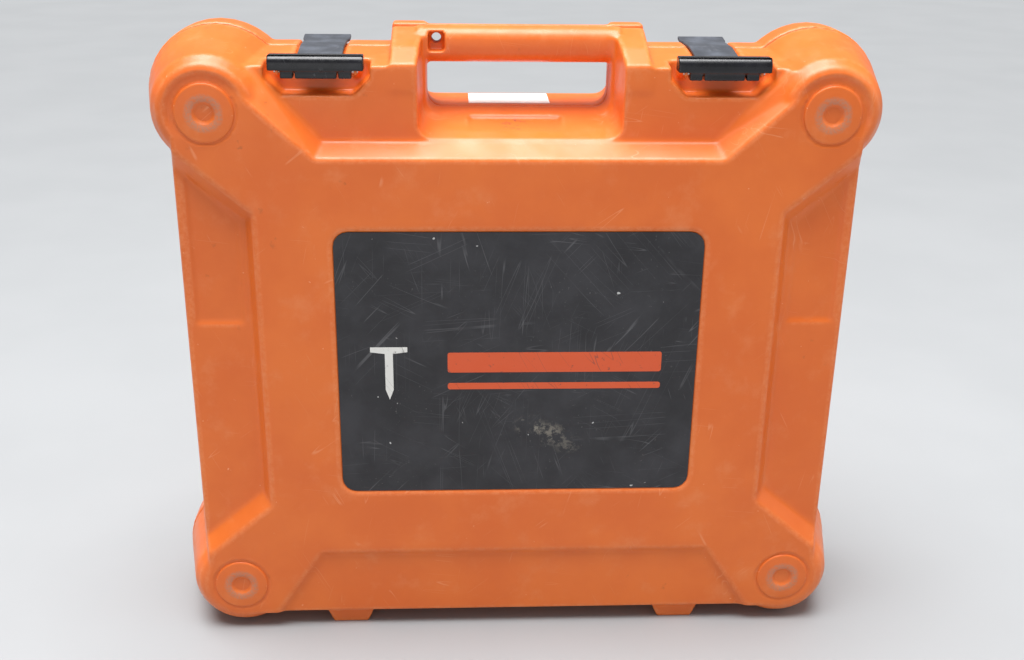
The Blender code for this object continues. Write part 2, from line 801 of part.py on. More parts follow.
def make_label():
    inset = 2 * GAP
    outline = rounded_rectangle(
        (-LABEL_HALF_WIDTH + inset, LABEL_HALF_WIDTH - inset),
        (LABEL_Z[0] + inset, LABEL_Z[1] - inset),
        LABEL_CORNER - inset,
    )
    back = LID.y(LABEL_RECESS - GAP)
    rings = [at_y(outline, back - LABEL_THICKNESS), at_y(outline, back)]
    return as_part(loft("label_panel", rings), "label")


def make_hinge_pins():
    for sign, side in ((-1, "left"), (1, "right")):
        middle = sign * HINGE_X
        reach = KNUCKLE_LENGTH * 1.5
        start, end = (middle - reach, 0.0, HINGE_Z), (middle + reach, 0.0, HINGE_Z)
        pin = cylinder(f"hinge_pin_{side}", start, end, HINGE_PIN_RADIUS, sides=PIN_SIDES, pivot=start)
        as_part(pin, "steel")


# ---------------------------------------------------------------- latches


def latch_bar(name, x):
    outline = [
        (LATCH_ROD_Y - 5.0, LATCH_ROD_Z - 4.4),
        (LATCH_ROD_Y - 5.0, LATCH_ROD_Z + 8.2),
        (LATCH_ROD_Y - 3.6, LATCH_ROD_Z + 9.6),
        (LATCH_ROD_Y + 5.0, LATCH_ROD_Z + 9.6),
        (LATCH_ROD_Y + 5.0, LATCH_ROD_Z - 2.0),
        (LATCH_ROD_Y + 2.0, LATCH_ROD_Z - 4.4),
    ]
    rings = [at_x(outline, x - LATCH_HALF_WIDTH), at_x(outline, x + LATCH_HALF_WIDTH)]
    return loft(name, rings, pivot=(x, LATCH_ROD_Y, LATCH_ROD_Z))


def latch_strap(x):
    """The flexible strap from the bar over the seam, with the lip and the flared pull tab at its end."""
    clear = STRAP_CLEARANCE
    groove = SEAM_TOP - STRAP_GROOVE_DEPTH
    root_y = LATCH_ROD_Y + 2.0
    pocket_y = LID.y(TOP_RECESS + POCKET_DEPTH)
    tab_y = STRAIGHT_WALL + 3.0
    under = [
        (root_y, band_top(root_y) - STRAP_GROOVE_DEPTH + clear + 1.6),
        (pocket_y, band_top(pocket_y) - STRAP_GROOVE_DEPTH + clear),
        (0.0, groove + clear),
        (tab_y, groove + clear),
    ]
    over = [(y, z + STRAP_THICKNESS) for y, z in reversed(under)]
    outline = under + over
    a, b = x - STRAP_HALF_WIDTH, x + STRAP_HALF_WIDTH
    return loft(f"latch_strap_{int(x)}", [at_x(outline, a), at_x(outline, b)])


def latch_tab(x):
    low = SEAM_TOP - STRAP_GROOVE_DEPTH + STRAP_CLEARANCE
    high = low + STRAP_THICKNESS
    start, end = STRAIGHT_WALL + 1.0, STRAIGHT_WALL + 17.0
    narrow = STRAP_HALF_WIDTH - 0.3
    sections = ((start, narrow, 0.0), (start + 8.0, TAB_HALF_WIDTH, 0.0), (end, TAB_HALF_WIDTH, 1.4))
    rings = []
    for y, half_width, lift in sections:
        under = [(x - half_width, y, low + lift), (x + half_width, y, low + lift)]
        over = [(x + half_width, y, high + lift), (x - half_width, y, high + lift)]
        rings.append(under + over)
    return loft(f"latch_tab_{int(x)}", rings)


def latch_lip(x):
    """The lip under the strap, which drops into the notch behind the base's rib."""
    floor = SEAM_TOP - STRAP_GROOVE_DEPTH
    outline = [(15.0, floor + 1.2), (15.0, floor - 0.6), (16.2, floor - 0.9), (17.8, floor + 1.2)]
    return loft(f"latch_lip_{int(x)}", [at_x(outline, x - 9.0), at_x(outline, x + 9.0)])


def bar_cut(name, x_range, front, height):
    """Takes away the bar's underside, from a plane in front of the rod to the bar's back."""
    a, b = sorted(x_range)
    low = (a, LATCH_ROD_Y + front, LATCH_ROD_Z - 8.0)
    return box(name, low, (b, LATCH_ROD_Y + 8.0, LATCH_ROD_Z + height))


def cut_comb(latch, x):
    """Leaves a comb between the ears, hollows the bar behind them and slots the comb."""
    for sign in (-1, 1):
        ends = (x + sign * COMB_HALF_WIDTH, x + sign * (LATCH_HALF_WIDTH + 2.0))
        cut(latch, bar_cut(f"comb_end_{int(x)}_{sign}", ends, -8.0, COMB_TOP))
        inner, outer = EAR_OFFSET - EAR_WIDTH / 2 - 0.6, EAR_OFFSET + EAR_WIDTH / 2 + 0.6
        cut(latch, bar_cut(f"ear_room_{int(x)}_{sign}", (x + sign * inner, x + sign * outer), -3.3, 3.6))
        inner, outer = COMB_SLOT_OFFSET - COMB_SLOT_HALF_WIDTH, COMB_SLOT_OFFSET + COMB_SLOT_HALF_WIDTH
        cut(latch, bar_cut(f"comb_slot_{int(x)}_{sign}", (x + sign * inner, x + sign * outer), -8.0, -0.6))


def make_latch(side, x):
    latch = latch_bar(f"latch_{side}", x)
    join(latch, latch_strap(x))
    join(latch, latch_tab(x))
    join(latch, latch_lip(x))
    cut_comb(latch, x)
    bore = rod_bore(x, LATCH_ROD_RADIUS + GAP)
    bore.name = f"latch_rod_bore_{side}"
    cut(latch, bore)
    as_part(latch, "black_plastic")
    start = (x - LATCH_ROD_HALF_LENGTH, LATCH_ROD_Y, LATCH_ROD_Z)
    end = (x + LATCH_ROD_HALF_LENGTH, LATCH_ROD_Y, LATCH_ROD_Z)
    rod = cylinder(f"latch_rod_{side}", start, end, LATCH_ROD_RADIUS, sides=16, pivot=start)
    as_part(rod, "steel")


def make_sticker():
    """A blank paper sticker lying on the floor of the handle opening."""
    under = OPENING_FLOOR + STICKER_GAP
    low = (STICKER_X[0], STICKER_Y[0], under)
    high = (STICKER_X[1], STICKER_Y[1], under + STICKER_THICKNESS)
    return as_part(box("paper_sticker", low, high), "paper")


# ---------------------------------------------------------------- tray and liner


POCKETS = {
    "tool": ((-184.0, 186.0), (164.0, 244.0), TRAY_FLOOR),
    "strip": ((28.0, 236.0), (54.0, 262.0), 30.0),
    "grip": ((24.0, 72.0), (150.0, 190.0), TRAY_FLOOR),
    "boxes": ((-196.0, 36.0), (-40.0, 170.0), 36.0),
    "small_tools": ((166.0, 36.0), (202.0, 176.0), 24.0),
    "top_store": ((-150.0, 268.0), (150.0, 322.0), 30.0),
}


def make_tray():
    """The base's inner skin: a flange plate with pockets hanging from it."""
    near, far = TRAY_PLATE
    low = (-PLATE_HALF_WIDTH, near, PLATE_Z[0])
    tray = box("base_tray", low, (PLATE_HALF_WIDTH, far, PLATE_Z[1]))
    for name, ((x0, z0), (x1, z1), floor) in POCKETS.items():
        low = (x0 - SKIN, near + 0.2, z0 - SKIN)
        join(tray, box(f"tray_wall_{name}", low, (x1 + SKIN, floor + 1.4, z1 + SKIN)))
    for name, ((x0, z0), (x1, z1), floor) in POCKETS.items():
        cut(tray, box(f"tray_pocket_{name}", (x0, near - 3.0, z0), (x1, floor, z1)))
    return as_part(tray, "orange_liner")


LINER_HOLLOW = ((-190.0, 60.0), (190.0, 272.0), -30.0)


def make_liner():
    """The lid's inner skin, with one wide hollow that clears the tool."""
    near, far = (-value for value in TRAY_PLATE)
    liner = box("lid_liner", (-PLATE_HALF_WIDTH, far, PLATE_Z[0]), (PLATE_HALF_WIDTH, near, PLATE_Z[1]))
    (x0, z0), (x1, z1), floor = LINER_HOLLOW
    join(liner, box("liner_wall", (x0 - SKIN, floor - SKIN, z0 - SKIN), (x1 + SKIN, near - 0.2, z1 + SKIN)))
    cut(liner, box("liner_hollow", (x0, floor, z0), (x1, near + 3.0, z1)))
    return as_part(liner, "orange_liner")


# ---------------------------------------------------------------- tool


def make_receiver():
    receiver = tube("tool_receiver", RECEIVER_X, RECEIVER_RADIUS, RECEIVER_BORE)
    strip_a, strip_b = STRIP_X
    low = (strip_a - 0.7, TOOL_Y - 4.6, TOOL_Z - 30.0)
    cut(receiver, box("receiver_strip_slot", low, (strip_b + 0.7, TOOL_Y + 4.6, TOOL_Z + 30.0)))
    low = (66.0, TOOL_Y - 5.0, TOOL_Z - 30.0)
    cut(receiver, box("receiver_sear_slot", low, (86.0, TOOL_Y + 5.0, TOOL_Z - 10.0)))
    return as_part(receiver, "dark_steel")


def make_front_collar():
    profile_x = (RECEIVER_X[0] - 12.0, RECEIVER_X[0] - GAP)
    return as_part(tube("tool_front_collar", profile_x, RECEIVER_RADIUS, BARREL_RADIUS + 0.4), "steel")


def make_barrel():
    a, b = BARREL_X
    shoulder_x = RECEIVER_X[0] + 7.0
    profile = [
        (a, BARREL_BORE),
        (a, BARREL_RADIUS),
        (-112.0, BARREL_RADIUS),
        (-112.0, 19.0),
        (-106.0, 19.0),
        (-106.0, BARREL_RADIUS),
        (shoulder_x, BARREL_RADIUS),
        (shoulder_x, RECEIVER_BORE - 0.4),
        (b, RECEIVER_BORE - 0.4),
        (b, 3.6),
        (b - 9.0, 3.6),
        (b - 9.0, BARREL_BORE),
    ]
    return as_part(turned("tool_barrel", profile, pivot=(a, TOOL_Y, TOOL_Z)), "steel")


def make_muzzle():
    a = BARREL_X[0]
    profile = [(a - 22.0, 4.8), (a - 22.0, 9.0), (a - 18.0, 12.0), (a - GAP, 12.0), (a - GAP, 4.8)]
    as_part(turned("tool_muzzle_bush", profile, pivot=(a, TOOL_Y, TOOL_Z)), "dark_steel")
    guard = [
        (a - 19.0, 22.6),
        (a - 19.0, 24.0),
        (a - 6.0, 20.0),
        (a - 3.0, 16.0),
        (a - 3.0, 12.3),
        (a - 7.0, 12.3),
        (a - 9.0, 18.0),
    ]
    as_part(turned("tool_spall_guard", guard, pivot=(a, TOOL_Y, TOOL_Z)), "rubber")


def make_piston():
    body = shaft("tool_piston", (-130.0, -8.0), 4.2, pivot=(-130.0, TOOL_Y, TOOL_Z))
    head = shaft("piston_head", (-12.0, 8.0), 9.1)
    as_part(join(body, head), "steel")
    as_part(tube("tool_piston_stop", (-147.0, -140.0), 9.2, 4.7), "rubber")


def make_breech():
    block = tube("tool_breech_block", (43.5, 84.0), RECEIVER_BORE - GAP, 3.0)
    cut(block, shaft("pin_spring_room", (60.0, 90.0), 5.6))
    as_part(block, "steel")
    pin = shaft("tool_firing_pin", (44.5, 94.0), 2.6)
    as_part(join(pin, shaft("pin_collar", (86.0, 94.0), 8.0)), "steel")
    spring = coil("tool_pin_spring", (61.5, 83.5), 4.0, 0.6, 7)
    as_part(spring, "spring_steel")


def make_barrel_spring():
    spring = coil("tool_barrel_spring", (-104.2, -75.8), 17.2, 1.2, 6, steps=16)
    as_part(spring, "spring_steel")


def make_rear():
    cap = shaft("tool_rear_cap", (RECEIVER_X[1] + GAP, RECEIVER_X[1] + 8.0), RECEIVER_RADIUS)
    join(cap, shaft("cap_spigot", (RECEIVER_X[1] - 10.0, RECEIVER_X[1] + 4.0), RECEIVER_BORE - GAP))
    join(cap, shaft("cap_stud", (RECEIVER_X[1], RECEIVER_X[1] + 20.0), 5.0))
    as_part(cap, "dark_steel")
    dial = tube("tool_power_dial", (RECEIVER_X[1] + 8.6, RECEIVER_X[1] + 22.0), 17.5, 5.4)
    for i in range(12):
        angle = 2 * math.pi * i / 12
        y = TOOL_Y + 18.4 * math.cos(angle)
        z = TOOL_Z + 18.4 * math.sin(angle)
        a, b = RECEIVER_X[1] + 7.0, RECEIVER_X[1] + 24.0
        cut(dial, cylinder(f"dial_flute_{i}", (a, y, z), (b, y, z), 2.2, sides=12))
    as_part(dial, "dial_red")


def grip_outline():
    """Grip, trigger guard and cartridge well seen from the side, anticlockwise."""
    return [
        (34.0, 192.0),
        (34.0, 148.0),
        (47.0, 148.0),
        (52.0, 146.0),
        (84.0, 146.0),
        (92.0, 142.0),
        (104.0, 80.0),
        (110.0, 76.0),
        (136.0, 80.0),
        (140.0, 86.0),
        (126.0, 150.0),
        (124.0, 168.0),
        (130.0, 180.0),
        (126.0, 192.0),
    ]


def trigger_window():
    return [(53.0, 152.0), (88.0, 152.0), (91.0, 160.0), (90.0, 174.0), (53.0, 174.0)]


def grip_half(name, low_y, high_y):
    outline = grip_outline()
    grip = loft(name, [at_y(outline, low_y), at_y(outline, high_y)])
    window = trigger_window()
    cut(grip, loft(name + "_window", [at_y(window, low_y - 3.0), at_y(window, high_y + 3.0)]))
    x, z = TRIGGER_PIVOT
    low, high = (x - 13.0, TOOL_Y - 4.6, 172.0), (x + 12.0, TOOL_Y + 4.6, 194.0)
    cut(grip, box(name + "_trigger_room", low, high))
    strip_a, strip_b = STRIP_X
    low = (strip_a - 0.5, TOOL_Y - 4.4, 140.0)
    cut(grip, box(name + "_strip_channel", low, (strip_b + 0.5, TOOL_Y + 4.4, 196.0)))
    start, end = (x, low_y - 3.0, z), (x, high_y + 3.0, z)
    cut(grip, cylinder(name + "_trigger_bore", start, end, 2.0 + GAP, sides=16))
    return grip


GRIP_SCREWS = ((118.0, 182.0), (100.0, 160.0), (112.0, 92.0), (128.0, 92.0))


def make_grips():
    front = grip_half("tool_grip_front", 1.5, TOOL_Y - SEAM)
    rear = grip_half("tool_grip_rear", TOOL_Y + SEAM, 28.5)
    for i, (x, z) in enumerate(GRIP_SCREWS):
        head_room = ((x, -2.0, z), (x, 4.0, z))
        cut(front, cylinder(f"screw_head_room_{i}", *head_room, 3.6, sides=16))
        cut(front, cylinder(f"screw_hole_{i}", (x, 3.0, z), (x, 18.0, z), 1.9, sides=16))
        cut(rear, cylinder(f"screw_pilot_{i}", (x, 14.0, z), (x, 25.0, z), 1.9, sides=16))
        screw = cylinder(f"tool_grip_screw_{i + 1}", (x, 1.9, z), (x, 3.7, z), 3.2, sides=16)
        join(screw, cylinder(f"screw_shank_{i}", (x, 3.0, z), (x, 24.0, z), 1.6, sides=16))
        cut(screw, box(f"screw_slot_{i}", (x - 4.0, 1.0, z - 0.45), (x + 4.0, 2.6, z + 0.45)))
        as_part(screw, "steel")
    as_part(front, "grip_plastic")
    as_part(rear, "grip_plastic")


def make_trigger():
    x, z = TRIGGER_PIVOT
    outline = [
        (x - 4.0, z + 4.0),
        (x - 5.0, z - 4.0),
        (x - 8.0, z - 14.0),
        (x - 13.0, z - 24.0),
        (x - 16.0, z - 27.0),
        (x - 11.0, z - 27.5),
        (x - 7.0, z - 22.0),
        (x - 2.0, z - 12.0),
        (x + 4.0, z - 4.0),
        (x + 4.0, z + 4.0),
    ]
    rings = [at_y(outline, TOOL_Y - 3.6), at_y(outline, TOOL_Y + 3.6)]
    trigger = loft("tool_trigger", rings, pivot=(x, TOOL_Y, z))
    bore = ((x, TOOL_Y - 6.0, z), (x, TOOL_Y + 6.0, z))
    cut(trigger, cylinder("trigger_bore", *bore, 2.0 + GAP, sides=16))
    as_part(trigger, "black_plastic")
    pin = cylinder("tool_trigger_pin", (x, 2.5, z), (x, 27.5, z), 2.0, sides=16, pivot=(x, TOOL_Y, z))
    as_part(pin, "steel")


def make_strip():
    strip_a, strip_b = STRIP_X
    low, high = (strip_a, TOOL_Y - 3.8, 144.0), (strip_b, TOOL_Y + 3.8, 222.0)
    strip = box("tool_cartridge_strip", low, high, pivot=(strip_a, TOOL_Y, 144.0))
    for i in range(8):
        z = 222.0 - 6.0 - 9.0 * i
        for sign in (-1, 1):
            notch_y = TOOL_Y + sign * 3.8
            low = (strip_a - 1.0, notch_y - 0.9, z + 3.2)
            cut(strip, box(f"strip_notch_{i}_{sign}", low, (strip_b + 1.0, notch_y + 0.9, z + 5.0)))
    as_part(strip, "strip_plastic")


# ---------------------------------------------------------------- accessories


def make_accessories():
    as_part(box("fastener_box", (-190.0, 4.0, 44.0), (-122.0, 34.0, 160.0)), "card")
    as_part(box("cartridge_box", (-112.0, 6.0, 60.0), (-50.0, 34.0, 120.0)), "strip_plastic")
    handle = cylinder("brush_handle", (176.0, 14.0, 44.0), (176.0, 14.0, 120.0), 4.5, sides=20)
    as_part(handle, "wood")
    bristles = cylinder("brush_bristles", (176.0, 14.0, 120.4), (176.0, 14.0, 168.0), 7.5, sides=20)
    as_part(bristles, "bristle")
    make_hex_key()


def make_hex_key():
    curve = bpy.data.curves.new("hex_key", "CURVE")
    curve.dimensions = "3D"
    curve.bevel_depth = 2.6 * MM
    curve.bevel_resolution = 1
    curve.use_fill_caps = True
    spline = curve.splines.new("POLY")
    points = [(192.0, 50.0), (192.0, 130.0)]
    for i in range(1, 5):
        angle = math.pi / 2 * i / 4
        points.append((192.0 + 6.0 - 6.0 * math.cos(angle), 130.0 + 6.0 * math.sin(angle)))
    points.append((201.0, 136.0))
    spline.points.add(len(points) - 1)
    for point, (x, z) in zip(spline.points, points):
        point.co = (x * MM, 14.0 * MM, z * MM, 1.0)
    as_part(curve_to_mesh("hex_key", curve), "dark_steel")


def build():
    make_lid_shell()
    make_base_shell()
    make_label()
    make_hinge_pins()
    for side, x in (("left", -LATCH_X), ("right", LATCH_X)):
        make_latch(side, x)
    make_sticker()
    make_tray()
    make_liner()
    make_receiver()
    make_front_collar()
    make_barrel()
    make_muzzle()
    make_piston()
    make_breech()
    make_barrel_spring()
    make_rear()
    make_grips()
    make_trigger()
    make_strip()
    make_accessories()


clear_scene()
parts = new_collection("nail_gun_case")
cutters = new_collection("cutters", hidden=True)
build()
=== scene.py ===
"""Looks for a blow-moulded carry case with a powder-actuated nail gun inside.

The CAD shells are copied, remeshed and softened into moulded skins, the small parts get rounded
edges, and every surface gets a procedural material. Lengths are in metres, in the frame's axes:
X to the right, the lid facing -Y, +Z up.
"""

import json
import math

import bmesh
import bpy
import numpy as np
from mathutils import Matrix, Vector

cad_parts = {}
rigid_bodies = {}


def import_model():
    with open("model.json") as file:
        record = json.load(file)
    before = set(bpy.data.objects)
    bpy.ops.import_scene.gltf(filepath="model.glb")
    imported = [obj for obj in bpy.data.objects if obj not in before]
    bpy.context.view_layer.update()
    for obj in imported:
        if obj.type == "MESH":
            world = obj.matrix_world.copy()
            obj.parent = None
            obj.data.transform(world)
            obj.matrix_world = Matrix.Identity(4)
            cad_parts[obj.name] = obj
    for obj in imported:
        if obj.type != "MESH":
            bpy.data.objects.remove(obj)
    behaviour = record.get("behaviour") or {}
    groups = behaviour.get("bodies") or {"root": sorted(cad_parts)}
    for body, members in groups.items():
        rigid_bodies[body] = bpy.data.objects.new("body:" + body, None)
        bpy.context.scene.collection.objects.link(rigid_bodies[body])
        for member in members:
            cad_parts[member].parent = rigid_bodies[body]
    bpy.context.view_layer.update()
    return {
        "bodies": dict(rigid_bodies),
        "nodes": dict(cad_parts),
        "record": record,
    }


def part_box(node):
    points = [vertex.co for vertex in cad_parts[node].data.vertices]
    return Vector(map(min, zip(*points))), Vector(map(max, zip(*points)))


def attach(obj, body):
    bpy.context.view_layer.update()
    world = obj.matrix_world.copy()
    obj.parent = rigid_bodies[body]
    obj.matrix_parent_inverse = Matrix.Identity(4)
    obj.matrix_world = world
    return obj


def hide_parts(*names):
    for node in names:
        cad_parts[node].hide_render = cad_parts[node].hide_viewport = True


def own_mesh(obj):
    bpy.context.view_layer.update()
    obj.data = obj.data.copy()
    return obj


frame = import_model()
BODIES = frame["bodies"]
NODES = frame["nodes"]
MM = 0.001

# Camera
CAMERA_AT = Vector((-0.04127, -0.77676, 0.51063))
CAMERA_PITCH = 0.37673
CAMERA_HEADING = -0.05126
CAMERA_ROLL = -0.01409
CAMERA_LENS = 42.19
CAMERA_SENSOR = 36.0

# Skins: voxel sizes, rounds of smoothing and how hard each pulls, the welding distance, steps per arc
SHELL_VOXEL = 1.1 * MM
LATCH_VOXEL = 0.55 * MM
SMOOTHING_ROUNDS = 6
SOFT_PULL = 0.5
FIRM_PULL = 0.12
LATCH_ROUNDS = 5
LATCH_PULL = 0.4
WELD = 0.01 * MM
ARC_STEPS = 6

# Corner pads, as on the CAD shells, and the profile inside a pad's rim as radius and rise in mm
PAD_X = 190 * MM
PAD_HEIGHTS = (36.5 * MM, 365.5 * MM)
MIDDLE_HEIGHT = 200 * MM
PAD_RADIUS = 18 * MM
PAD_SET_BACK = 1.2 * MM
PAD_FOOT = 2.4 * MM
PAD_ROUNDING = 1.6 * MM
PAD_CREST = ((14.0, 0.85), (11.8, 1.08), (9.5, 1.15), (7.4, 1.05))
PAD_DIMPLE = ((6.5, 0.65), (5.6, -0.35), (4.4, -0.62), (2.2, -0.66))

# The bed under each pad, and the moat and rolled rim round the upper ones
DOME_DEPTH = 12 * MM
BED_MARGIN = 1.6 * MM
BED_DEPTH = 0.5 * MM
MOAT_RADIUS = 21 * MM
MOAT_WIDTH = 4.6 * MM
MOAT_DEPTH = 1.9 * MM
RIM_RADIUS = 28 * MM
RIM_WIDTH = 5 * MM
RIM_RISE = 0.6 * MM
RIM_FADE = 10 * MM

# Places on the shells with small parts: middles, reaches to either side and limits
HINGE_X = 110 * MM
HINGE_REACH = 26 * MM
HINGE_TOP = 19 * MM
HINGE_DEPTH = 10 * MM
LATCH_X = 124 * MM
EARS_REACH = 24 * MM
EARS_BOTTOM = 379 * MM
EARS_FRONT = -48 * MM
EARS_BACK = 22 * MM
PADLOCK_X = -52 * MM
PADLOCK_REACH = 7 * MM
PADLOCK_BOTTOM = 394 * MM
SOLE_TOP = 0.4 * MM

# The latch's comb, the rolled top of its bar and the front of its strap
COMB_FRONT = -46.4 * MM
COMB_SET_BACK = 1.2 * MM
COMB_TOP = (388.2 * MM, 389.2 * MM)
ROLL_BOTTOM = 393 * MM
ROLL_HEIGHT = 5.2 * MM
ROLL_DEPTH = 3.2 * MM
STRAP_FRONT = -37.2 * MM

# The marks printed on the label, in mm
NAIL_X = -84.0
NAIL_TOP = 214.0
NAIL_HEAD_HALF = 12.0
NAIL_HEAD_EDGE = 3.4
NAIL_HEAD_HEIGHT = 4.6
NAIL_SHANK_HALF = 2.6
NAIL_TAPER_AT = 30.0
NAIL_LENGTH = 37.0
BAR_ENDS = (-46.0, 94.0)
BAR_ROUNDING = 1.6
LABEL_BARS = (("label_bar_wide", 196.0, 210.0), ("label_bar_thin", 184.0, 188.5))
LABEL_GAP = 0.01 * MM

# Marks as centre, radius and strength
LABEL_Y = -56.8 * MM
LABEL_SMUDGES = (
    ((8 * MM, LABEL_Y, 157 * MM), 12 * MM, 0.8),
    ((21 * MM, LABEL_Y, 151 * MM), 15 * MM, 0.6),
    ((34 * MM, LABEL_Y, 143 * MM), 12 * MM, 0.35),
)
DARK_MARKS = (
    ((-45 * MM, -36 * MM, 350.5 * MM), 5 * MM, 1.0),
    ((-3 * MM, -22 * MM, 352.5 * MM), 13 * MM, 0.7),
    ((-150 * MM, -20 * MM, 402 * MM), 14 * MM, 0.5),
)
INK = 0.12 * MM

# Colours of the wear and dirt, of the dark marks, and of the painted shade in the seam between the halves
SCRATCHED_ORANGE = (0.92, 0.45, 0.24)
NICKED_ORANGE = (0.95, 0.55, 0.33)
WORN_ORANGE = (0.90, 0.36, 0.16)
GRIME = (0.12, 0.045, 0.02)
SEAM_SHADE = (0.20, 0.012, 0.004)
MARK_SHADE = (0.10, 0.045, 0.035)
RING_GREY = (0.40, 0.24, 0.17)
SCRATCHED_NYLON = (0.40, 0.41, 0.43)
SCRATCHED_LABEL = (0.32, 0.32, 0.33)
DUST = (0.30, 0.29, 0.27)
SMUDGE = (0.27, 0.245, 0.20)
SPECK = (0.7, 0.7, 0.68)
BARE_LABEL = (0.06, 0.05, 0.05)
RUST = (0.10, 0.07, 0.05)

# Oranges: the colour, its pale haze and its deep mottle
SHELL_ORANGES = ((0.80, 0.17, 0.022), (0.84, 0.29, 0.11), (0.74, 0.14, 0.016))
LINER_ORANGES = ((0.74, 0.15, 0.026), (0.82, 0.28, 0.12), (0.66, 0.12, 0.02))

# Grained materials: name, two tones, grains per metre, roughness, bump, stretch of the grain
GRAINED = {
    "paper": ("white_paper", (0.80, 0.80, 0.77), (0.88, 0.88, 0.86), 160.0, 0.8, 0.05 * MM),
    "rubber": ("black_rubber", (0.016, 0.016, 0.016), (0.03, 0.03, 0.03), 300.0, 0.75, 0.06 * MM),
    "dial_red": ("red_plastic", (0.50, 0.02, 0.015), (0.60, 0.035, 0.02), 240.0, 0.38, 0.03 * MM),
    "strip_plastic": ("scarlet_plastic", (0.68, 0.04, 0.02), (0.78, 0.07, 0.03), 200.0, 0.4, 0.03 * MM),
    "card": ("brown_card", (0.34, 0.23, 0.13), (0.46, 0.33, 0.20), 420.0, 0.82, 0.08 * MM),
    "wood": ("oiled_wood", (0.30, 0.16, 0.07), (0.52, 0.32, 0.16), 60.0, 0.5, 0.1 * MM, (1, 1, 0.12)),
    "bristle": ("bristle_hair", (0.30, 0.22, 0.11), (0.68, 0.56, 0.34), 1400.0, 0.7, 0.4 * MM, (1, 1, 0.03)),
}

# Stage: the sky's strength, spread and tilt, and the softboxes as name, place, target, size and watts
STAGE_MIDDLE = (0, 0, 0.2)
SKY_POWER = 4.5
SKY_SPREAD = math.radians(46)
SKY_TILT = math.radians(-6)
SOFTBOXES = (
    ("top_softbox", (-0.1, -0.15, 1.5), (0, 0.05, 0.2), (1.5, 1.0), 14.0),
    ("front_softbox", (-0.5, -2.2, 0.5), STAGE_MIDDLE, (1.8, 1.0), 4.4),
    ("side_softbox", (1.7, -0.4, 0.8), STAGE_MIDDLE, (1.0, 1.0), 3.0),
)
WORLD_COLOUR = (0.93, 0.93, 0.94, 1)
WORLD_STRENGTH = 0.34
FLOOR_REACH = 6.0

# Angles at which an edge shades sharp, gets rounded, or counts as flat
SHARP_ANGLE = math.radians(38)
ROUNDED_SHARP_ANGLE = math.radians(50)
ROUNDING_ANGLE = math.radians(40)
FLAT_ANGLE = math.radians(1)

# Widths of the rounded edges
ROUNDED = {
    "base_tray": 1.2 * MM,
    "lid_liner": 1.2 * MM,
    "tool_receiver": 0.8 * MM,
    "tool_front_collar": 0.8 * MM,
    "tool_barrel": 0.7 * MM,
    "tool_muzzle_bush": 0.7 * MM,
    "tool_rear_cap": 0.8 * MM,
    "tool_power_dial": 0.5 * MM,
    "tool_grip_front": 2.2 * MM,
    "tool_grip_rear": 2.2 * MM,
    "tool_trigger": 1.2 * MM,
    "tool_cartridge_strip": 0.3 * MM,
    "fastener_box": 0.6 * MM,
    "cartridge_box": 1.8 * MM,
    "brush_handle": 1.4 * MM,
    "brush_bristles": 1.0 * MM,
}


# ---------------------------------------------------------------- meshes


def link(obj):
    bpy.context.scene.collection.objects.link(obj)
    return obj


def new_object(name, work, body, material, at=(0, 0, 0)):
    """A piece from a bmesh, which rides on a body and shades smooth."""
    mesh = bpy.data.meshes.new(name)
    bmesh.ops.recalc_face_normals(work, faces=work.faces)
    work.to_mesh(mesh)
    work.free()
    mesh.shade_smooth()
    mesh.set_sharp_from_angle(angle=SHARP_ANGLE)
    mesh.materials.append(material)
    obj = link(bpy.data.objects.new(name, mesh))
    obj.location = at
    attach(obj, body)
    return obj


def rows_of(items, name, width, kind=np.float32):
    """One row per vertex or edge of a mesh."""
    flat = np.empty(len(items) * width, kind)
    items.foreach_get(name, flat)
    return flat.reshape(-1, width)


def points_of(mesh):
    return rows_of(mesh.vertices, "co", 3).astype(float)


def set_points(mesh, points):
    mesh.vertices.foreach_set("co", points.astype(np.float32).ravel())
    mesh.update()


def edges_of(mesh):
    return rows_of(mesh.edges, "vertices", 2, np.int32)


def normals_of(mesh):
    return rows_of(mesh.vertices, "normal", 3).astype(float)


def neighbour_mean(points, edges):
    """The mean of each vertex's neighbours."""
    count = np.bincount(edges.ravel(), minlength=len(points)).astype(float)
    total = np.empty_like(points)
    for axis in range(3):
        column = np.bincount(edges[:, 0], points[edges[:, 1], axis], len(points))
        column += np.bincount(edges[:, 1], points[edges[:, 0], axis], len(points))
        total[:, axis] = column / np.maximum(count, 1)
    return total


def welded_copy(name, node):
    """A new object with the CAD node's mesh, its split vertices merged."""
    work = bmesh.new()
    work.from_mesh(NODES[node].data)
    bmesh.ops.remove_doubles(work, verts=work.verts, dist=WELD)
    mesh = bpy.data.meshes.new(name)
    work.to_mesh(mesh)
    work.free()
    return link(bpy.data.objects.new(name, mesh))


def applied(obj):
    """The object with its modifiers made into its mesh."""
    graph = bpy.context.evaluated_depsgraph_get()
    mesh = bpy.data.meshes.new_from_object(obj.evaluated_get(graph))
    obj.modifiers.clear()
    obj.data = mesh
    return obj


def remeshed(name, node, voxel):
    obj = welded_copy(name, node)
    remesh = obj.modifiers.new("voxels", "REMESH")
    remesh.mode = "VOXEL"
    remesh.voxel_size = voxel
    return applied(obj)


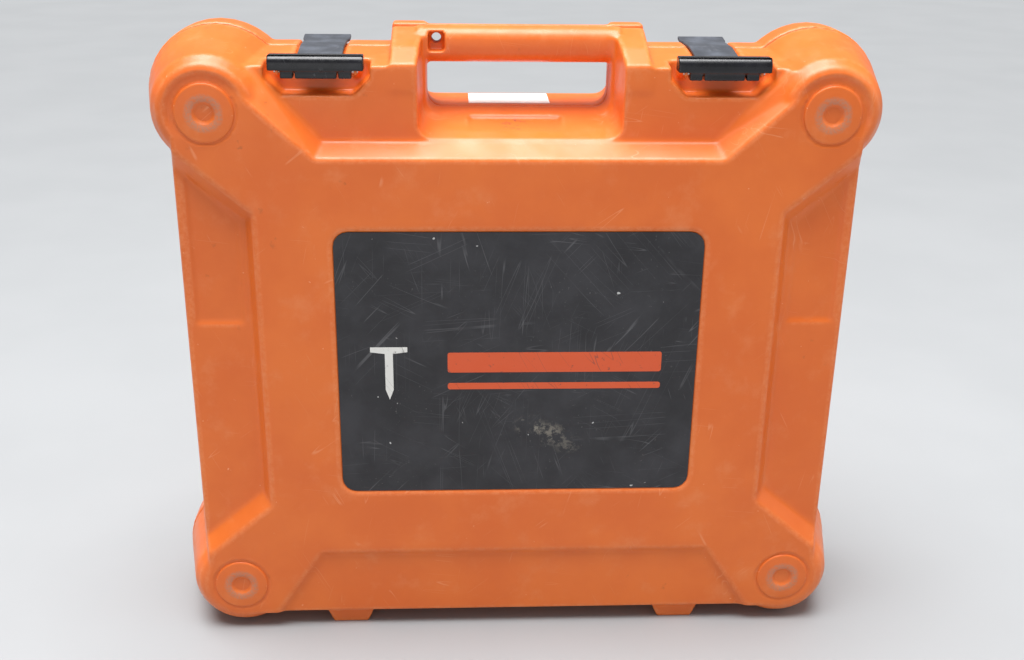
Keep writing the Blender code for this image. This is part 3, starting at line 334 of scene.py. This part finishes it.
def soften(obj, pull, rounds=SMOOTHING_ROUNDS):
    """Smooths the mesh by a pull for each vertex, and keeps how convex each place is for its wear."""
    mesh = obj.data
    points, edges = points_of(mesh), edges_of(mesh)
    for _ in range(rounds):
        points += (neighbour_mean(points, edges) - points) * pull[:, None]
    set_points(mesh, points)
    bend = ((points - neighbour_mean(points, edges)) * normals_of(mesh)).sum(axis=1)
    for _ in range(3):
        bend = neighbour_mean(np.repeat(bend[:, None], 3, axis=1), edges)[:, 0]
    edge = np.clip(bend / (0.03 * MM), -1, 1)
    attribute = mesh.attributes.new("edge", "FLOAT", "POINT")
    attribute.data.foreach_set("value", edge.astype(np.float32))
    return obj


def finished(obj, body, slot, material, *nodes):
    obj.data.materials.clear()
    obj.data.materials.append(material)
    obj.data.shade_smooth()
    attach(obj, body)
    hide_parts(*nodes)
    return obj


def eased(value):
    """The value held between 0 and 1, and levelling off towards both."""
    t = np.clip(value, 0, 1)
    return t * t * (3 - 2 * t)


def bump_of(distance, centre, width):
    """A smooth hump, 1 at the centre and 0 a width away."""
    return eased(1 - np.abs(distance - centre) / width)


def ramp_of(value, low, high):
    """A smooth rise, 0 at the low value and 1 at the high one."""
    return eased((value - low) / (high - low))


# ---------------------------------------------------------------- case skins


def firm_places(points):
    """1 where the shell has small parts that heavy smoothing would wear away, and 0 elsewhere."""
    x, y, z = points.T
    off_middle = np.abs(x)
    hinge = (np.abs(off_middle - HINGE_X) < HINGE_REACH) & (z < HINGE_TOP) & (np.abs(y) < HINGE_DEPTH)
    ears = (np.abs(off_middle - LATCH_X) < EARS_REACH) & (z > EARS_BOTTOM)
    ears &= (y > EARS_FRONT) & (y < EARS_BACK)
    padlock = (np.abs(x - PADLOCK_X) < PADLOCK_REACH) & (z > PADLOCK_BOTTOM)
    sole = z < SOLE_TOP
    return (hinge | ears | padlock | sole).astype(float)


def sculpt_domes(points, face):
    """Sets the CAD pads back for the finer ones and gives each upper dome its rolled rim."""
    side = math.copysign(1, face)
    bed = face - side * BED_DEPTH
    depth = side * (face - points[:, 1])
    near_face = depth < DOME_DEPTH
    for x in (-PAD_X, PAD_X):
        for z in PAD_HEIGHTS:
            across = (points[:, 0] - x) * math.copysign(1, x)
            up = points[:, 2] - z
            radius = np.hypot(across, up)
            disc = near_face & (radius < PAD_RADIUS + BED_MARGIN)
            proud = side * points[disc, 1] > side * bed
            points[disc, 1] = np.where(proud, bed, points[disc, 1])
            if z > MIDDLE_HEIGHT:
                outer = ramp_of(across * 0.55 + up, -8 * MM, 10 * MM)
                lift = RIM_RISE * bump_of(radius, RIM_RADIUS, RIM_WIDTH)
                lift -= MOAT_DEPTH * bump_of(radius, MOAT_RADIUS, MOAT_WIDTH)
                lift *= outer * np.clip(1 - depth / RIM_FADE, 0, 1)
                points[:, 1] += side * np.where(near_face, lift, 0)
    return points


def case_skin(name, node, body, material, face):
    obj = remeshed(name, node, SHELL_VOXEL)
    firm = firm_places(points_of(obj.data))
    soften(obj, SOFT_PULL + (FIRM_PULL - SOFT_PULL) * firm)
    points = sculpt_domes(points_of(obj.data), face)
    low, high = (np.array(corner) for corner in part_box(node))
    set_points(obj.data, np.clip(points, low, high))
    return finished(obj, body, "orange_shell", material, node)


def pad_profile():
    """(radius, rise above the disc round it) of a corner pad, from its rim to its sunk centre."""
    profile = [(PAD_RADIUS, -PAD_FOOT), (PAD_RADIUS - 0.1 * MM, -0.4 * MM)]
    for i in range(ARC_STEPS + 1):
        angle = math.pi / 2 * i / ARC_STEPS
        radius = PAD_RADIUS - PAD_ROUNDING * (1 - math.cos(angle))
        profile.append((radius, math.sin(angle) * MM - 0.3 * MM))
    return profile + [(radius * MM, rise * MM) for radius, rise in PAD_CREST + PAD_DIMPLE]


def add_pad(name, body, at, side, material, sides=96):
    work = bmesh.new()
    rings = []
    for radius, rise in pad_profile():
        ring = []
        for i in range(sides):
            angle = 2 * math.pi * i / sides
            ring.append(work.verts.new((radius * math.cos(angle), side * rise, radius * math.sin(angle))))
        rings.append(ring)
    for outer, inner in zip(rings, rings[1:]):
        for i in range(sides):
            k = (i + 1) % sides
            work.faces.new((outer[i], outer[k], inner[k], inner[i]))
    work.faces.new(rings[-1])
    work.faces.new(rings[0])
    return new_object(name, work, body, material, at)


# ---------------------------------------------------------------- node helpers


def material_named(name, roughness=0.5, metallic=0.0):
    made = bpy.data.materials.new(name)
    made.use_nodes = True
    shader = made.node_tree.nodes["Principled BSDF"]
    shader.inputs["Roughness"].default_value = roughness
    shader.inputs["Metallic"].default_value = metallic
    return made, made.node_tree, shader


def add_node(tree, kind, inputs=(), **settings):
    made = tree.nodes.new("ShaderNode" + kind)
    for key, value in settings.items():
        setattr(made, key, value)
    for key, value in dict(inputs).items():
        if isinstance(value, bpy.types.NodeSocket):
            tree.links.new(value, made.inputs[key])
        else:
            made.inputs[key].default_value = value
    return made


def object_coords(tree):
    return add_node(tree, "TexCoord").outputs["Object"]


def stretched(tree, vector, angle, scale):
    """Coordinates turned in the XZ plane and scaled per axis."""
    inputs = {"Vector": vector, "Rotation": (0, angle, 0)}
    turned = add_node(tree, "Mapping", inputs, vector_type="POINT").outputs[0]
    return add_node(tree, "Mapping", {"Vector": turned, "Scale": scale}).outputs[0]


def noise(tree, vector, scale, detail=3.0, roughness=0.5, distortion=0.0):
    inputs = {"Vector": vector, "Scale": scale, "Detail": detail}
    inputs.update({"Roughness": roughness, "Distortion": distortion})
    return add_node(tree, "TexNoise", inputs).outputs["Fac"]


def spread(tree, value, low, high, to_low=0.0, to_high=1.0):
    inputs = {0: value, 1: low, 2: high, 3: to_low, 4: to_high}
    return add_node(tree, "MapRange", inputs, clamp=True, interpolation_type="SMOOTHSTEP").outputs[0]


def maths(tree, operation, a, b=0.0):
    return add_node(tree, "Math", {0: a, 1: b}, operation=operation).outputs[0]


def mixed(tree, factor, a, b):
    """Colour a turning into colour b by the factor."""
    node = tree.nodes.new("ShaderNodeMix")
    node.data_type = "RGBA"
    for socket, value in ((node.inputs[0], factor), (node.inputs[6], a), (node.inputs[7], b)):
        if isinstance(value, bpy.types.NodeSocket):
            tree.links.new(value, socket)
        else:
            socket.default_value = (*value, 1.0) if isinstance(value, tuple) else value
    return node.outputs[2]


def bumped(tree, shader, height, distance, strength=1.0, under=None):
    """A bump from a height from 0 to 1, on top of another bump's normal if there is one."""
    inputs = {"Height": height, "Distance": distance, "Strength": strength}
    if under is not None:
        inputs["Normal"] = under
    normal = add_node(tree, "Bump", inputs).outputs[0]
    tree.links.new(normal, shader.inputs["Normal"])
    return normal


def scratches(tree, coords, angle, across, along, level, width=0.006, patch=45.0):
    """Thin lines at one angle, each showing only here and there.

    Across, along and patch are counts per metre: of the lines, of their bends and of the patches.
    """
    lines = noise(tree, stretched(tree, coords, angle, (across, across, along)), 1.0, 1.0, 0.5, 0.3)
    distance = maths(tree, "ABSOLUTE", maths(tree, "SUBTRACT", lines, 0.5))
    thin = spread(tree, distance, 0.0, width, 1.0, 0.0)
    away = (angle, 3 * angle, across)
    moved = add_node(tree, "VectorMath", {0: coords, 1: away}, operation="ADD").outputs[0]
    patches = spread(tree, noise(tree, moved, patch, 2.0), level, level + 0.08)
    return maths(tree, "MULTIPLY", thin, patches)


def strongest(tree, values):
    found = values[0]
    for value in values[1:]:
        found = maths(tree, "MAXIMUM", found, value)
    return found


# ---------------------------------------------------------------- materials


def orange_plastic(name, colour, pale, deep, worn=True):
    """Satin moulded polyethylene: mottled, hazed, scuffed and worn pale along its edges."""
    made, tree, shader = material_named(name)
    coords = object_coords(tree)
    mottle = spread(tree, noise(tree, coords, 14.0, 4.0, 0.6), 0.35, 0.68)
    base = mixed(tree, mottle, deep, colour)
    haze = spread(tree, noise(tree, coords, 42.0, 5.0, 0.65), 0.52, 0.78, 0.0, 0.32)
    base = mixed(tree, haze, base, pale)
    angles = ((0.5, 82.0, 5.0), (-0.9, 75.0, 4.0), (1.45, 90.0, 4.0), (-0.2, 68.0, 5.0))
    streaks = strongest(tree, [scratches(tree, coords, *angle, 0.60, patch=32.0) for angle in angles])
    base = mixed(tree, maths(tree, "MULTIPLY", streaks, 0.28), base, SCRATCHED_ORANGE)
    nicks = spread(tree, noise(tree, coords, 330.0, 2.0), 0.76, 0.79)
    base = mixed(tree, maths(tree, "MULTIPLY", nicks, 0.5), base, NICKED_ORANGE)
    grime = spread(tree, noise(tree, coords, 95.0, 3.0, 0.6), 0.66, 0.76)
    grime = maths(tree, "MULTIPLY", grime, spread(tree, noise(tree, coords, 9.0), 0.55, 0.7))
    base = mixed(tree, maths(tree, "MULTIPLY", grime, 0.4), base, GRIME)
    if worn:
        edge = add_node(tree, "Attribute", attribute_name="edge").outputs["Fac"]
        breaking = noise(tree, coords, 300.0, 5.0, 0.7)
        wear = maths(tree, "MULTIPLY", spread(tree, edge, 0.3, 1.0), spread(tree, breaking, 0.3, 0.75))
        base = mixed(tree, maths(tree, "MULTIPLY", wear, 0.3), base, WORN_ORANGE)
    # Painted shade: a dark line in the seam where the halves meet
    base = mixed(tree, painted_seam_shade(tree, coords), base, SEAM_SHADE)
    for centre, radius, strength in DARK_MARKS:
        mark = smudge_mask(tree, coords, centre, radius, strength)
        base = mixed(tree, mark, base, MARK_SHADE)
    tree.links.new(base, shader.inputs["Base Color"])
    rough = spread(tree, noise(tree, coords, 60.0, 4.0), 0.3, 0.7, 0.31, 0.45)
    tree.links.new(rough, shader.inputs["Roughness"])
    waves = bumped(tree, shader, noise(tree, coords, 22.0, 2.0), 0.9 * MM, 0.5)
    grain = bumped(tree, shader, noise(tree, coords, 1500.0, 3.0, 0.6), 0.06 * MM, 0.6, waves)
    bumped(tree, shader, maths(tree, "SUBTRACT", 1.0, streaks), 0.05 * MM, 0.4, grain)
    return made


def painted_seam_shade(tree, coords):
    """A dark line of painted shade in the seam round the case where the halves meet, from just above the
    hinges upwards.
    """
    parts = add_node(tree, "SeparateXYZ", {0: coords}).outputs
    near = spread(tree, maths(tree, "ABSOLUTE", parts["Y"]), 0.35 * MM, 0.9 * MM, 1.0, 0.0)
    near = maths(tree, "MULTIPLY", near, spread(tree, parts["Z"], 17 * MM, 20 * MM, 0.0, 0.8))
    normal = add_node(tree, "TexCoord").outputs["Normal"]
    facing = maths(tree, "ABSOLUTE", add_node(tree, "SeparateXYZ", {0: normal}).outputs["Y"])
    return maths(tree, "MULTIPLY", near, spread(tree, facing, 0.75, 0.95, 1.0, 0.0))


def pad_plastic(base_material):
    """The shell's plastic with a grey ring rubbed into the pad's crest."""
    made = base_material.copy()
    made.name = "worn_pad_plastic"
    tree = made.node_tree
    shader = tree.nodes["Principled BSDF"]
    coords = object_coords(tree)
    flat = add_node(tree, "VectorMath", {0: coords, 1: (1, 0, 1)}, operation="MULTIPLY").outputs[0]
    radius = add_node(tree, "VectorMath", {0: flat}, operation="LENGTH").outputs["Value"]
    wobble = maths(tree, "MULTIPLY", noise(tree, coords, 260.0, 4.0, 0.7), 3.0 * MM)
    radius = maths(tree, "ADD", radius, maths(tree, "SUBTRACT", wobble, 1.5 * MM))
    beyond_dimple = spread(tree, radius, 6.2 * MM, 7.6 * MM)
    beyond_crest = spread(tree, radius, 10.2 * MM, 12.6 * MM)
    ring = maths(tree, "SUBTRACT", beyond_dimple, beyond_crest)
    patchy = spread(tree, noise(tree, coords, 700.0, 3.0, 0.7), 0.32, 0.6, 0.12, 0.55)
    ring = maths(tree, "MULTIPLY", ring, patchy)
    before = shader.inputs["Base Color"].links[0].from_socket
    tree.links.new(mixed(tree, ring, before, RING_GREY), shader.inputs["Base Color"])
    return made


def black_nylon(name, colour, rough_low, rough_high):
    """Dark moulded nylon with a slight haze and pale scratches."""
    made, tree, shader = material_named(name)
    coords = object_coords(tree)
    haze = spread(tree, noise(tree, coords, 60.0, 4.0), 0.4, 0.7, 0.0, 0.5)
    base = mixed(tree, haze, colour, tuple(3 * c for c in colour))
    streaks = [scratches(tree, coords, angle, 150.0, 20.0, 0.55) for angle in (1.2, 0.3)]
    streaks = strongest(tree, streaks)
    base = mixed(tree, maths(tree, "MULTIPLY", streaks, 0.4), base, SCRATCHED_NYLON)
    tree.links.new(base, shader.inputs["Base Color"])
    rough = spread(tree, noise(tree, coords, 160.0, 4.0), 0.3, 0.7, rough_low, rough_high)
    tree.links.new(rough, shader.inputs["Roughness"])
    bumped(tree, shader, noise(tree, coords, 1800.0, 2.0), 0.04 * MM, 0.6)
    return made


def scuffed_label():
    """Charcoal vinyl with fine pale scratches at nine angles, and one rubbed smudge."""
    made, tree, shader = material_named("scuffed_label")
    coords = object_coords(tree)
    cloud = spread(tree, noise(tree, coords, 26.0, 5.0, 0.6), 0.35, 0.7)
    base = mixed(tree, cloud, (0.014, 0.013, 0.016), (0.030, 0.029, 0.034))
    for i in range(9):
        angle = -1.5 + 0.37 * i
        across, along = 85.0 + 9.0 * i, 2.5 + 0.4 * i
        level = 0.54 + 0.01 * (i % 3)
        lines = scratches(tree, coords, angle, across, along, level, 0.007, 24.0)
        base = mixed(tree, maths(tree, "MULTIPLY", lines, 0.14 + 0.04 * (i % 3)), base, SCRATCHED_LABEL)
    dust = spread(tree, noise(tree, coords, 520.0, 3.0, 0.7), 0.64, 0.74, 0.0, 0.4)
    dust = maths(tree, "MULTIPLY", dust, spread(tree, noise(tree, coords, 22.0), 0.45, 0.65))
    base = mixed(tree, dust, base, DUST)
    for centre, radius, strength in LABEL_SMUDGES:
        base = mixed(tree, smudge_mask(tree, coords, centre, radius, strength), base, SMUDGE)
    specks = spread(tree, noise(tree, coords, 210.0, 1.0), 0.765, 0.785)
    base = mixed(tree, maths(tree, "MULTIPLY", specks, 0.7), base, SPECK)
    tree.links.new(base, shader.inputs["Base Color"])
    rough = spread(tree, noise(tree, coords, 75.0, 5.0), 0.3, 0.7, 0.34, 0.56)
    tree.links.new(rough, shader.inputs["Roughness"])
    bumped(tree, shader, noise(tree, coords, 34.0, 3.0), 0.25 * MM, 0.5)
    return made


def smudge_mask(tree, coords, centre, radius, strength):
    """A broken patch round a centre in metres."""
    offset = add_node(tree, "VectorMath", {0: coords, 1: centre}, operation="SUBTRACT").outputs[0]
    flat = add_node(tree, "VectorMath", {0: offset, 1: (1, 1, 1.3)}, operation="MULTIPLY").outputs[0]
    distance = add_node(tree, "VectorMath", {0: flat}, operation="LENGTH").outputs["Value"]
    fade = spread(tree, distance, radius * 0.25, radius, 1.0, 0.0)
    broken = spread(tree, noise(tree, coords, 150.0, 5.0, 0.75), 0.5, 0.62)
    return maths(tree, "MULTIPLY", maths(tree, "MULTIPLY", fade, broken), strength)


def printed_ink(name, colour):
    """Ink with the label showing through where it has rubbed off."""
    made, tree, shader = material_named(name, 0.45)
    coords = object_coords(tree)
    rubbed = spread(tree, noise(tree, coords, 240.0, 4.0, 0.7), 0.62, 0.72, 0.0, 0.6)
    lines = maths(tree, "MULTIPLY", scratches(tree, coords, 0.6, 110.0, 9.0, 0.45), 0.5)
    base = mixed(tree, maths(tree, "MAXIMUM", rubbed, lines), colour, BARE_LABEL)
    tree.links.new(base, shader.inputs["Base Color"])
    rough = spread(tree, noise(tree, coords, 75.0, 5.0), 0.3, 0.7, 0.4, 0.6)
    tree.links.new(rough, shader.inputs["Roughness"])
    return made


def metal(name, colour, roughness, brushed=True):
    """Bare metal, brushed along X or plain, with a few rust spots."""
    made, tree, shader = material_named(name, roughness, 1.0)
    coords = object_coords(tree)
    tone = spread(tree, noise(tree, coords, 70.0, 4.0), 0.35, 0.7)
    base = mixed(tree, tone, tuple(0.8 * c for c in colour), colour)
    spots = spread(tree, noise(tree, coords, 420.0, 3.0, 0.6), 0.68, 0.74, 0.0, 0.5)
    base = mixed(tree, spots, base, RUST)
    tree.links.new(base, shader.inputs["Base Color"])
    scale = (30.0, 1500.0, 1500.0) if brushed else (300.0, 300.0, 300.0)
    lines = noise(tree, add_node(tree, "Mapping", {"Vector": coords, "Scale": scale}).outputs[0], 1.0, 3.0)
    rough = spread(tree, lines, 0.3, 0.7, roughness * 0.75, roughness * 1.4)
    tree.links.new(rough, shader.inputs["Roughness"])
    bumped(tree, shader, lines, 0.02 * MM, 0.4)
    return made


def grained(name, colour, second, scale, rough, bump, stretch=(1, 1, 1)):
    """Card, wood, bristle, rubber or paper: two tones of a grain that also gives the bump."""
    made, tree, shader = material_named(name)
    coords = add_node(tree, "Mapping", {"Vector": object_coords(tree), "Scale": stretch}).outputs[0]
    grain = noise(tree, coords, scale, 5.0, 0.65)
    base = mixed(tree, spread(tree, grain, 0.35, 0.65), colour, second)
    tree.links.new(base, shader.inputs["Base Color"])
    roughness = spread(tree, grain, 0.3, 0.7, rough - 0.08, rough + 0.08)
    tree.links.new(roughness, shader.inputs["Roughness"])
    bumped(tree, shader, grain, bump, 0.6)
    return made


def pale_floor():
    made, tree, shader = material_named("pale_floor", 0.6)
    coords = add_node(tree, "NewGeometry").outputs["Position"]
    cloud = spread(tree, noise(tree, coords, 5.0, 4.0), 0.3, 0.7)
    base = mixed(tree, cloud, (0.345, 0.355, 0.365), (0.36, 0.37, 0.38))
    tree.links.new(base, shader.inputs["Base Color"])
    return made


def make_materials():
    shell = orange_plastic("orange_shell_plastic", *SHELL_ORANGES)
    liner = orange_plastic("orange_liner_plastic", *LINER_ORANGES, worn=False)
    made = {
        "orange_shell": shell,
        "orange_pad": pad_plastic(shell),
        "orange_liner": liner,
        "black_plastic": black_nylon("black_plastic_satin", (0.005, 0.005, 0.007), 0.16, 0.32),
        "strap": black_nylon("strap_plastic", (0.045, 0.050, 0.062), 0.4, 0.55),
        "label": scuffed_label(),
        "white_ink": printed_ink("white_ink", (0.78, 0.77, 0.73)),
        "orange_ink": printed_ink("orange_ink", (0.72, 0.10, 0.025)),
        "steel": metal("bright_steel", (0.62, 0.63, 0.65), 0.26),
        "dark_steel": metal("black_steel", (0.12, 0.12, 0.13), 0.36),
        "spring_steel": metal("spring_wire", (0.40, 0.40, 0.42), 0.3, brushed=False),
        "grip_plastic": black_nylon("grip_nylon", (0.022, 0.022, 0.024), 0.5, 0.68),
    }
    for slot, values in GRAINED.items():
        made[slot] = grained(*values)
    return made


# ---------------------------------------------------------------- stage


def add_camera():
    heading = Vector((-math.sin(CAMERA_HEADING), math.cos(CAMERA_HEADING), 0))
    right = Vector((math.cos(CAMERA_HEADING), math.sin(CAMERA_HEADING), 0))
    forward = math.cos(CAMERA_PITCH) * heading - math.sin(CAMERA_PITCH) * Vector((0, 0, 1))
    up = math.sin(CAMERA_PITCH) * heading + math.cos(CAMERA_PITCH) * Vector((0, 0, 1))
    rolled_right = math.cos(CAMERA_ROLL) * right - math.sin(CAMERA_ROLL) * up
    rolled_up = math.sin(CAMERA_ROLL) * right + math.cos(CAMERA_ROLL) * up
    data = bpy.data.cameras.new("photo_camera")
    data.lens = CAMERA_LENS
    data.sensor_width = CAMERA_SENSOR
    data.clip_start = 0.02
    camera = link(bpy.data.objects.new("photo_camera", data))
    turn = Matrix((rolled_right, rolled_up, -forward)).transposed().to_4x4()
    camera.matrix_world = Matrix.Translation(CAMERA_AT) @ turn
    bpy.context.scene.camera = camera


def area_light(name, at, towards, size, power):
    data = bpy.data.lights.new(name, "AREA")
    data.shape = "RECTANGLE"
    data.size, data.size_y = size
    data.energy = power
    light = link(bpy.data.objects.new(name, data))
    light.visible_camera = False
    light.location = at
    light.rotation_euler = (Vector(towards) - Vector(at)).to_track_quat("-Z", "Y").to_euler()


def add_lights():
    sky = bpy.data.lights.new("soft_sky", "SUN")
    sky.energy = SKY_POWER
    sky.angle = SKY_SPREAD
    light = link(bpy.data.objects.new("soft_sky", sky))
    light.rotation_euler = (0, SKY_TILT, 0)
    for softbox in SOFTBOXES:
        area_light(*softbox)
    world = bpy.data.worlds.new("pale_studio")
    world.use_nodes = True
    background = world.node_tree.nodes["Background"]
    background.inputs["Color"].default_value = WORLD_COLOUR
    background.inputs["Strength"].default_value = WORLD_STRENGTH
    bpy.context.scene.world = world
    bpy.context.scene.view_settings.view_transform = "Standard"


def add_floor(material):
    """Two sheets that meet under the seam: the front one swings with the lid, which opens downwards."""
    left, right = -FLOOR_REACH, FLOOR_REACH
    for name, y0, y1 in (("floor_back", 0.0, FLOOR_REACH), ("floor_front", -FLOOR_REACH, 0.0)):
        work = bmesh.new()
        places = ((left, y0, 0), (right, y0, 0), (right, y1, 0), (left, y1, 0))
        work.faces.new([work.verts.new(place) for place in places])
        mesh = bpy.data.meshes.new(name)
        work.to_mesh(mesh)
        work.free()
        mesh.materials.append(material)
        floor = link(bpy.data.objects.new(name, mesh))
        if name == "floor_front":
            bpy.context.view_layer.update()
            floor.parent = BODIES["lid"]
            floor.matrix_world = Matrix.Identity(4)


# ---------------------------------------------------------------- the object


def add_case(materials):
    shell = materials["orange_shell"]
    lid_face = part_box("lid_outer_shell")[0].y + PAD_SET_BACK
    base_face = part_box("base_outer_shell")[1].y - PAD_SET_BACK
    case_skin("lid_skin", "lid_outer_shell", "lid", shell, lid_face)
    case_skin("base_skin", "base_outer_shell", "base", shell, base_face)
    for body, face, side in (("lid", lid_face, -1), ("base", base_face, 1)):
        for x in (-PAD_X, PAD_X):
            for z in PAD_HEIGHTS:
                across = "left" if x < 0 else "right"
                up = "low" if z < MIDDLE_HEIGHT else "high"
                add_pad(f"pad_{body}_{across}_{up}", body, (x, face, z), side, materials["orange_pad"])


def latch_skin(side, materials):
    """The latch with its comb set back and its top edge rolled, and the strap as a second material."""
    node = f"latch_{side}"
    obj = remeshed(f"{node}_skin", node, LATCH_VOXEL)
    points = points_of(obj.data)
    up = points[:, 2]
    front = points[:, 1] < COMB_FRONT
    set_back = COMB_SET_BACK * (1 - ramp_of(up, *COMB_TOP))
    set_back += ROLL_DEPTH * np.clip((up - ROLL_BOTTOM) / ROLL_HEIGHT, 0, 1) ** 2
    points[:, 1] += np.where(front, set_back, 0)
    set_points(obj.data, points)
    soften(obj, np.full(len(points), LATCH_PULL), LATCH_ROUNDS)
    finished(obj, node, "black_plastic", materials["black_plastic"], node)
    obj.data.materials.append(materials["strap"])
    points = points_of(obj.data)
    for face in obj.data.polygons:
        if points[face.vertices[0], 1] > STRAP_FRONT:
            face.material_index = 1


def flat_piece(name, outline, y, thickness, material):
    """A thin printed shape standing just proud of the label, from an outline in X and Z."""
    work = bmesh.new()
    front = [work.verts.new((x * MM, y - thickness, z * MM)) for x, z in outline]
    back = [work.verts.new((x * MM, y, z * MM)) for x, z in outline]
    count = len(outline)
    for i in range(count):
        k = (i + 1) % count
        work.faces.new((front[i], front[k], back[k], back[i]))
    work.faces.new(front)
    work.faces.new(back)
    return new_object(name, work, "lid", material)


def bar_outline(x0, x1, z0, z1, radius):
    """A bar with rounded corners, taken round from its upper right."""
    left, right, low, high = x0 + radius, x1 - radius, z0 + radius, z1 - radius
    outline = []
    for quarter, (cx, cz) in enumerate(((right, high), (left, high), (left, low), (right, low))):
        for i in range(ARC_STEPS + 1):
            angle = math.pi / 2 * (quarter + i / ARC_STEPS)
            outline.append((cx + radius * math.cos(angle), cz + radius * math.sin(angle)))
    return outline


def add_label_print(materials):
    """Plain marks in place of printing: a nail pictogram and two orange bars."""
    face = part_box("label_panel")[0].y - LABEL_GAP
    head_end, shank = NAIL_X - NAIL_HEAD_HALF, NAIL_X - NAIL_SHANK_HALF
    left = [(head_end, NAIL_TOP), (head_end, NAIL_TOP - NAIL_HEAD_EDGE), (shank, NAIL_TOP - NAIL_HEAD_HEIGHT)]
    left += [(shank, NAIL_TOP - NAIL_TAPER_AT), (NAIL_X, NAIL_TOP - NAIL_LENGTH)]
    nail = left + [(2 * NAIL_X - x, z) for x, z in reversed(left[:-1])]
    flat_piece("nail_pictogram", nail, face, INK, materials["white_ink"])
    for name, z0, z1 in LABEL_BARS:
        outline = bar_outline(*BAR_ENDS, z0, z1, BAR_ROUNDING)
        flat_piece(name, outline, face, INK, materials["orange_ink"])


def rounded_copy(node, body, slot, width, materials):
    """Replaces a CAD node by a copy of it with its edges rounded."""
    obj = welded_copy(f"{node}_skin", node)
    work = bmesh.new()
    work.from_mesh(obj.data)
    bmesh.ops.dissolve_limit(work, angle_limit=FLAT_ANGLE, verts=work.verts, edges=work.edges)
    work.to_mesh(obj.data)
    work.free()
    bevel = obj.modifiers.new("rounding", "BEVEL")
    bevel.width = width
    bevel.segments = 2
    bevel.limit_method = "ANGLE"
    bevel.angle_limit = ROUNDING_ANGLE
    applied(obj)
    finished(obj, body, slot, materials[slot], node)
    obj.data.set_sharp_from_angle(angle=ROUNDED_SHARP_ANGLE)


def add_spring(materials):
    """The barrel's return spring as its own piece, riding on the base."""
    spring = welded_copy("barrel_spring_coil", "tool_barrel_spring")
    finished(spring, "base", "spring_steel", materials["spring_steel"], "tool_barrel_spring")
    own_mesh(spring)


def skin_cad_nodes(materials):
    """Rounds the edges of the small parts and gives every CAD node its material."""
    record = frame["record"]
    body_of = {node: body for body, nodes in record["behaviour"]["bodies"].items() for node in nodes}
    for part in record["subparts"]:
        node, slot = part["node"], part["material_slot"]
        obj = NODES[node]
        obj.data.materials.clear()
        obj.data.materials.append(materials[slot])
        if node in ROUNDED:
            rounded_copy(node, body_of[node], slot, ROUNDED[node], materials)


def build():
    materials = make_materials()
    add_camera()
    add_lights()
    add_floor(pale_floor())
    skin_cad_nodes(materials)
    add_case(materials)
    for side in ("left", "right"):
        latch_skin(side, materials)
    add_label_print(materials)
    add_spring(materials)


build()
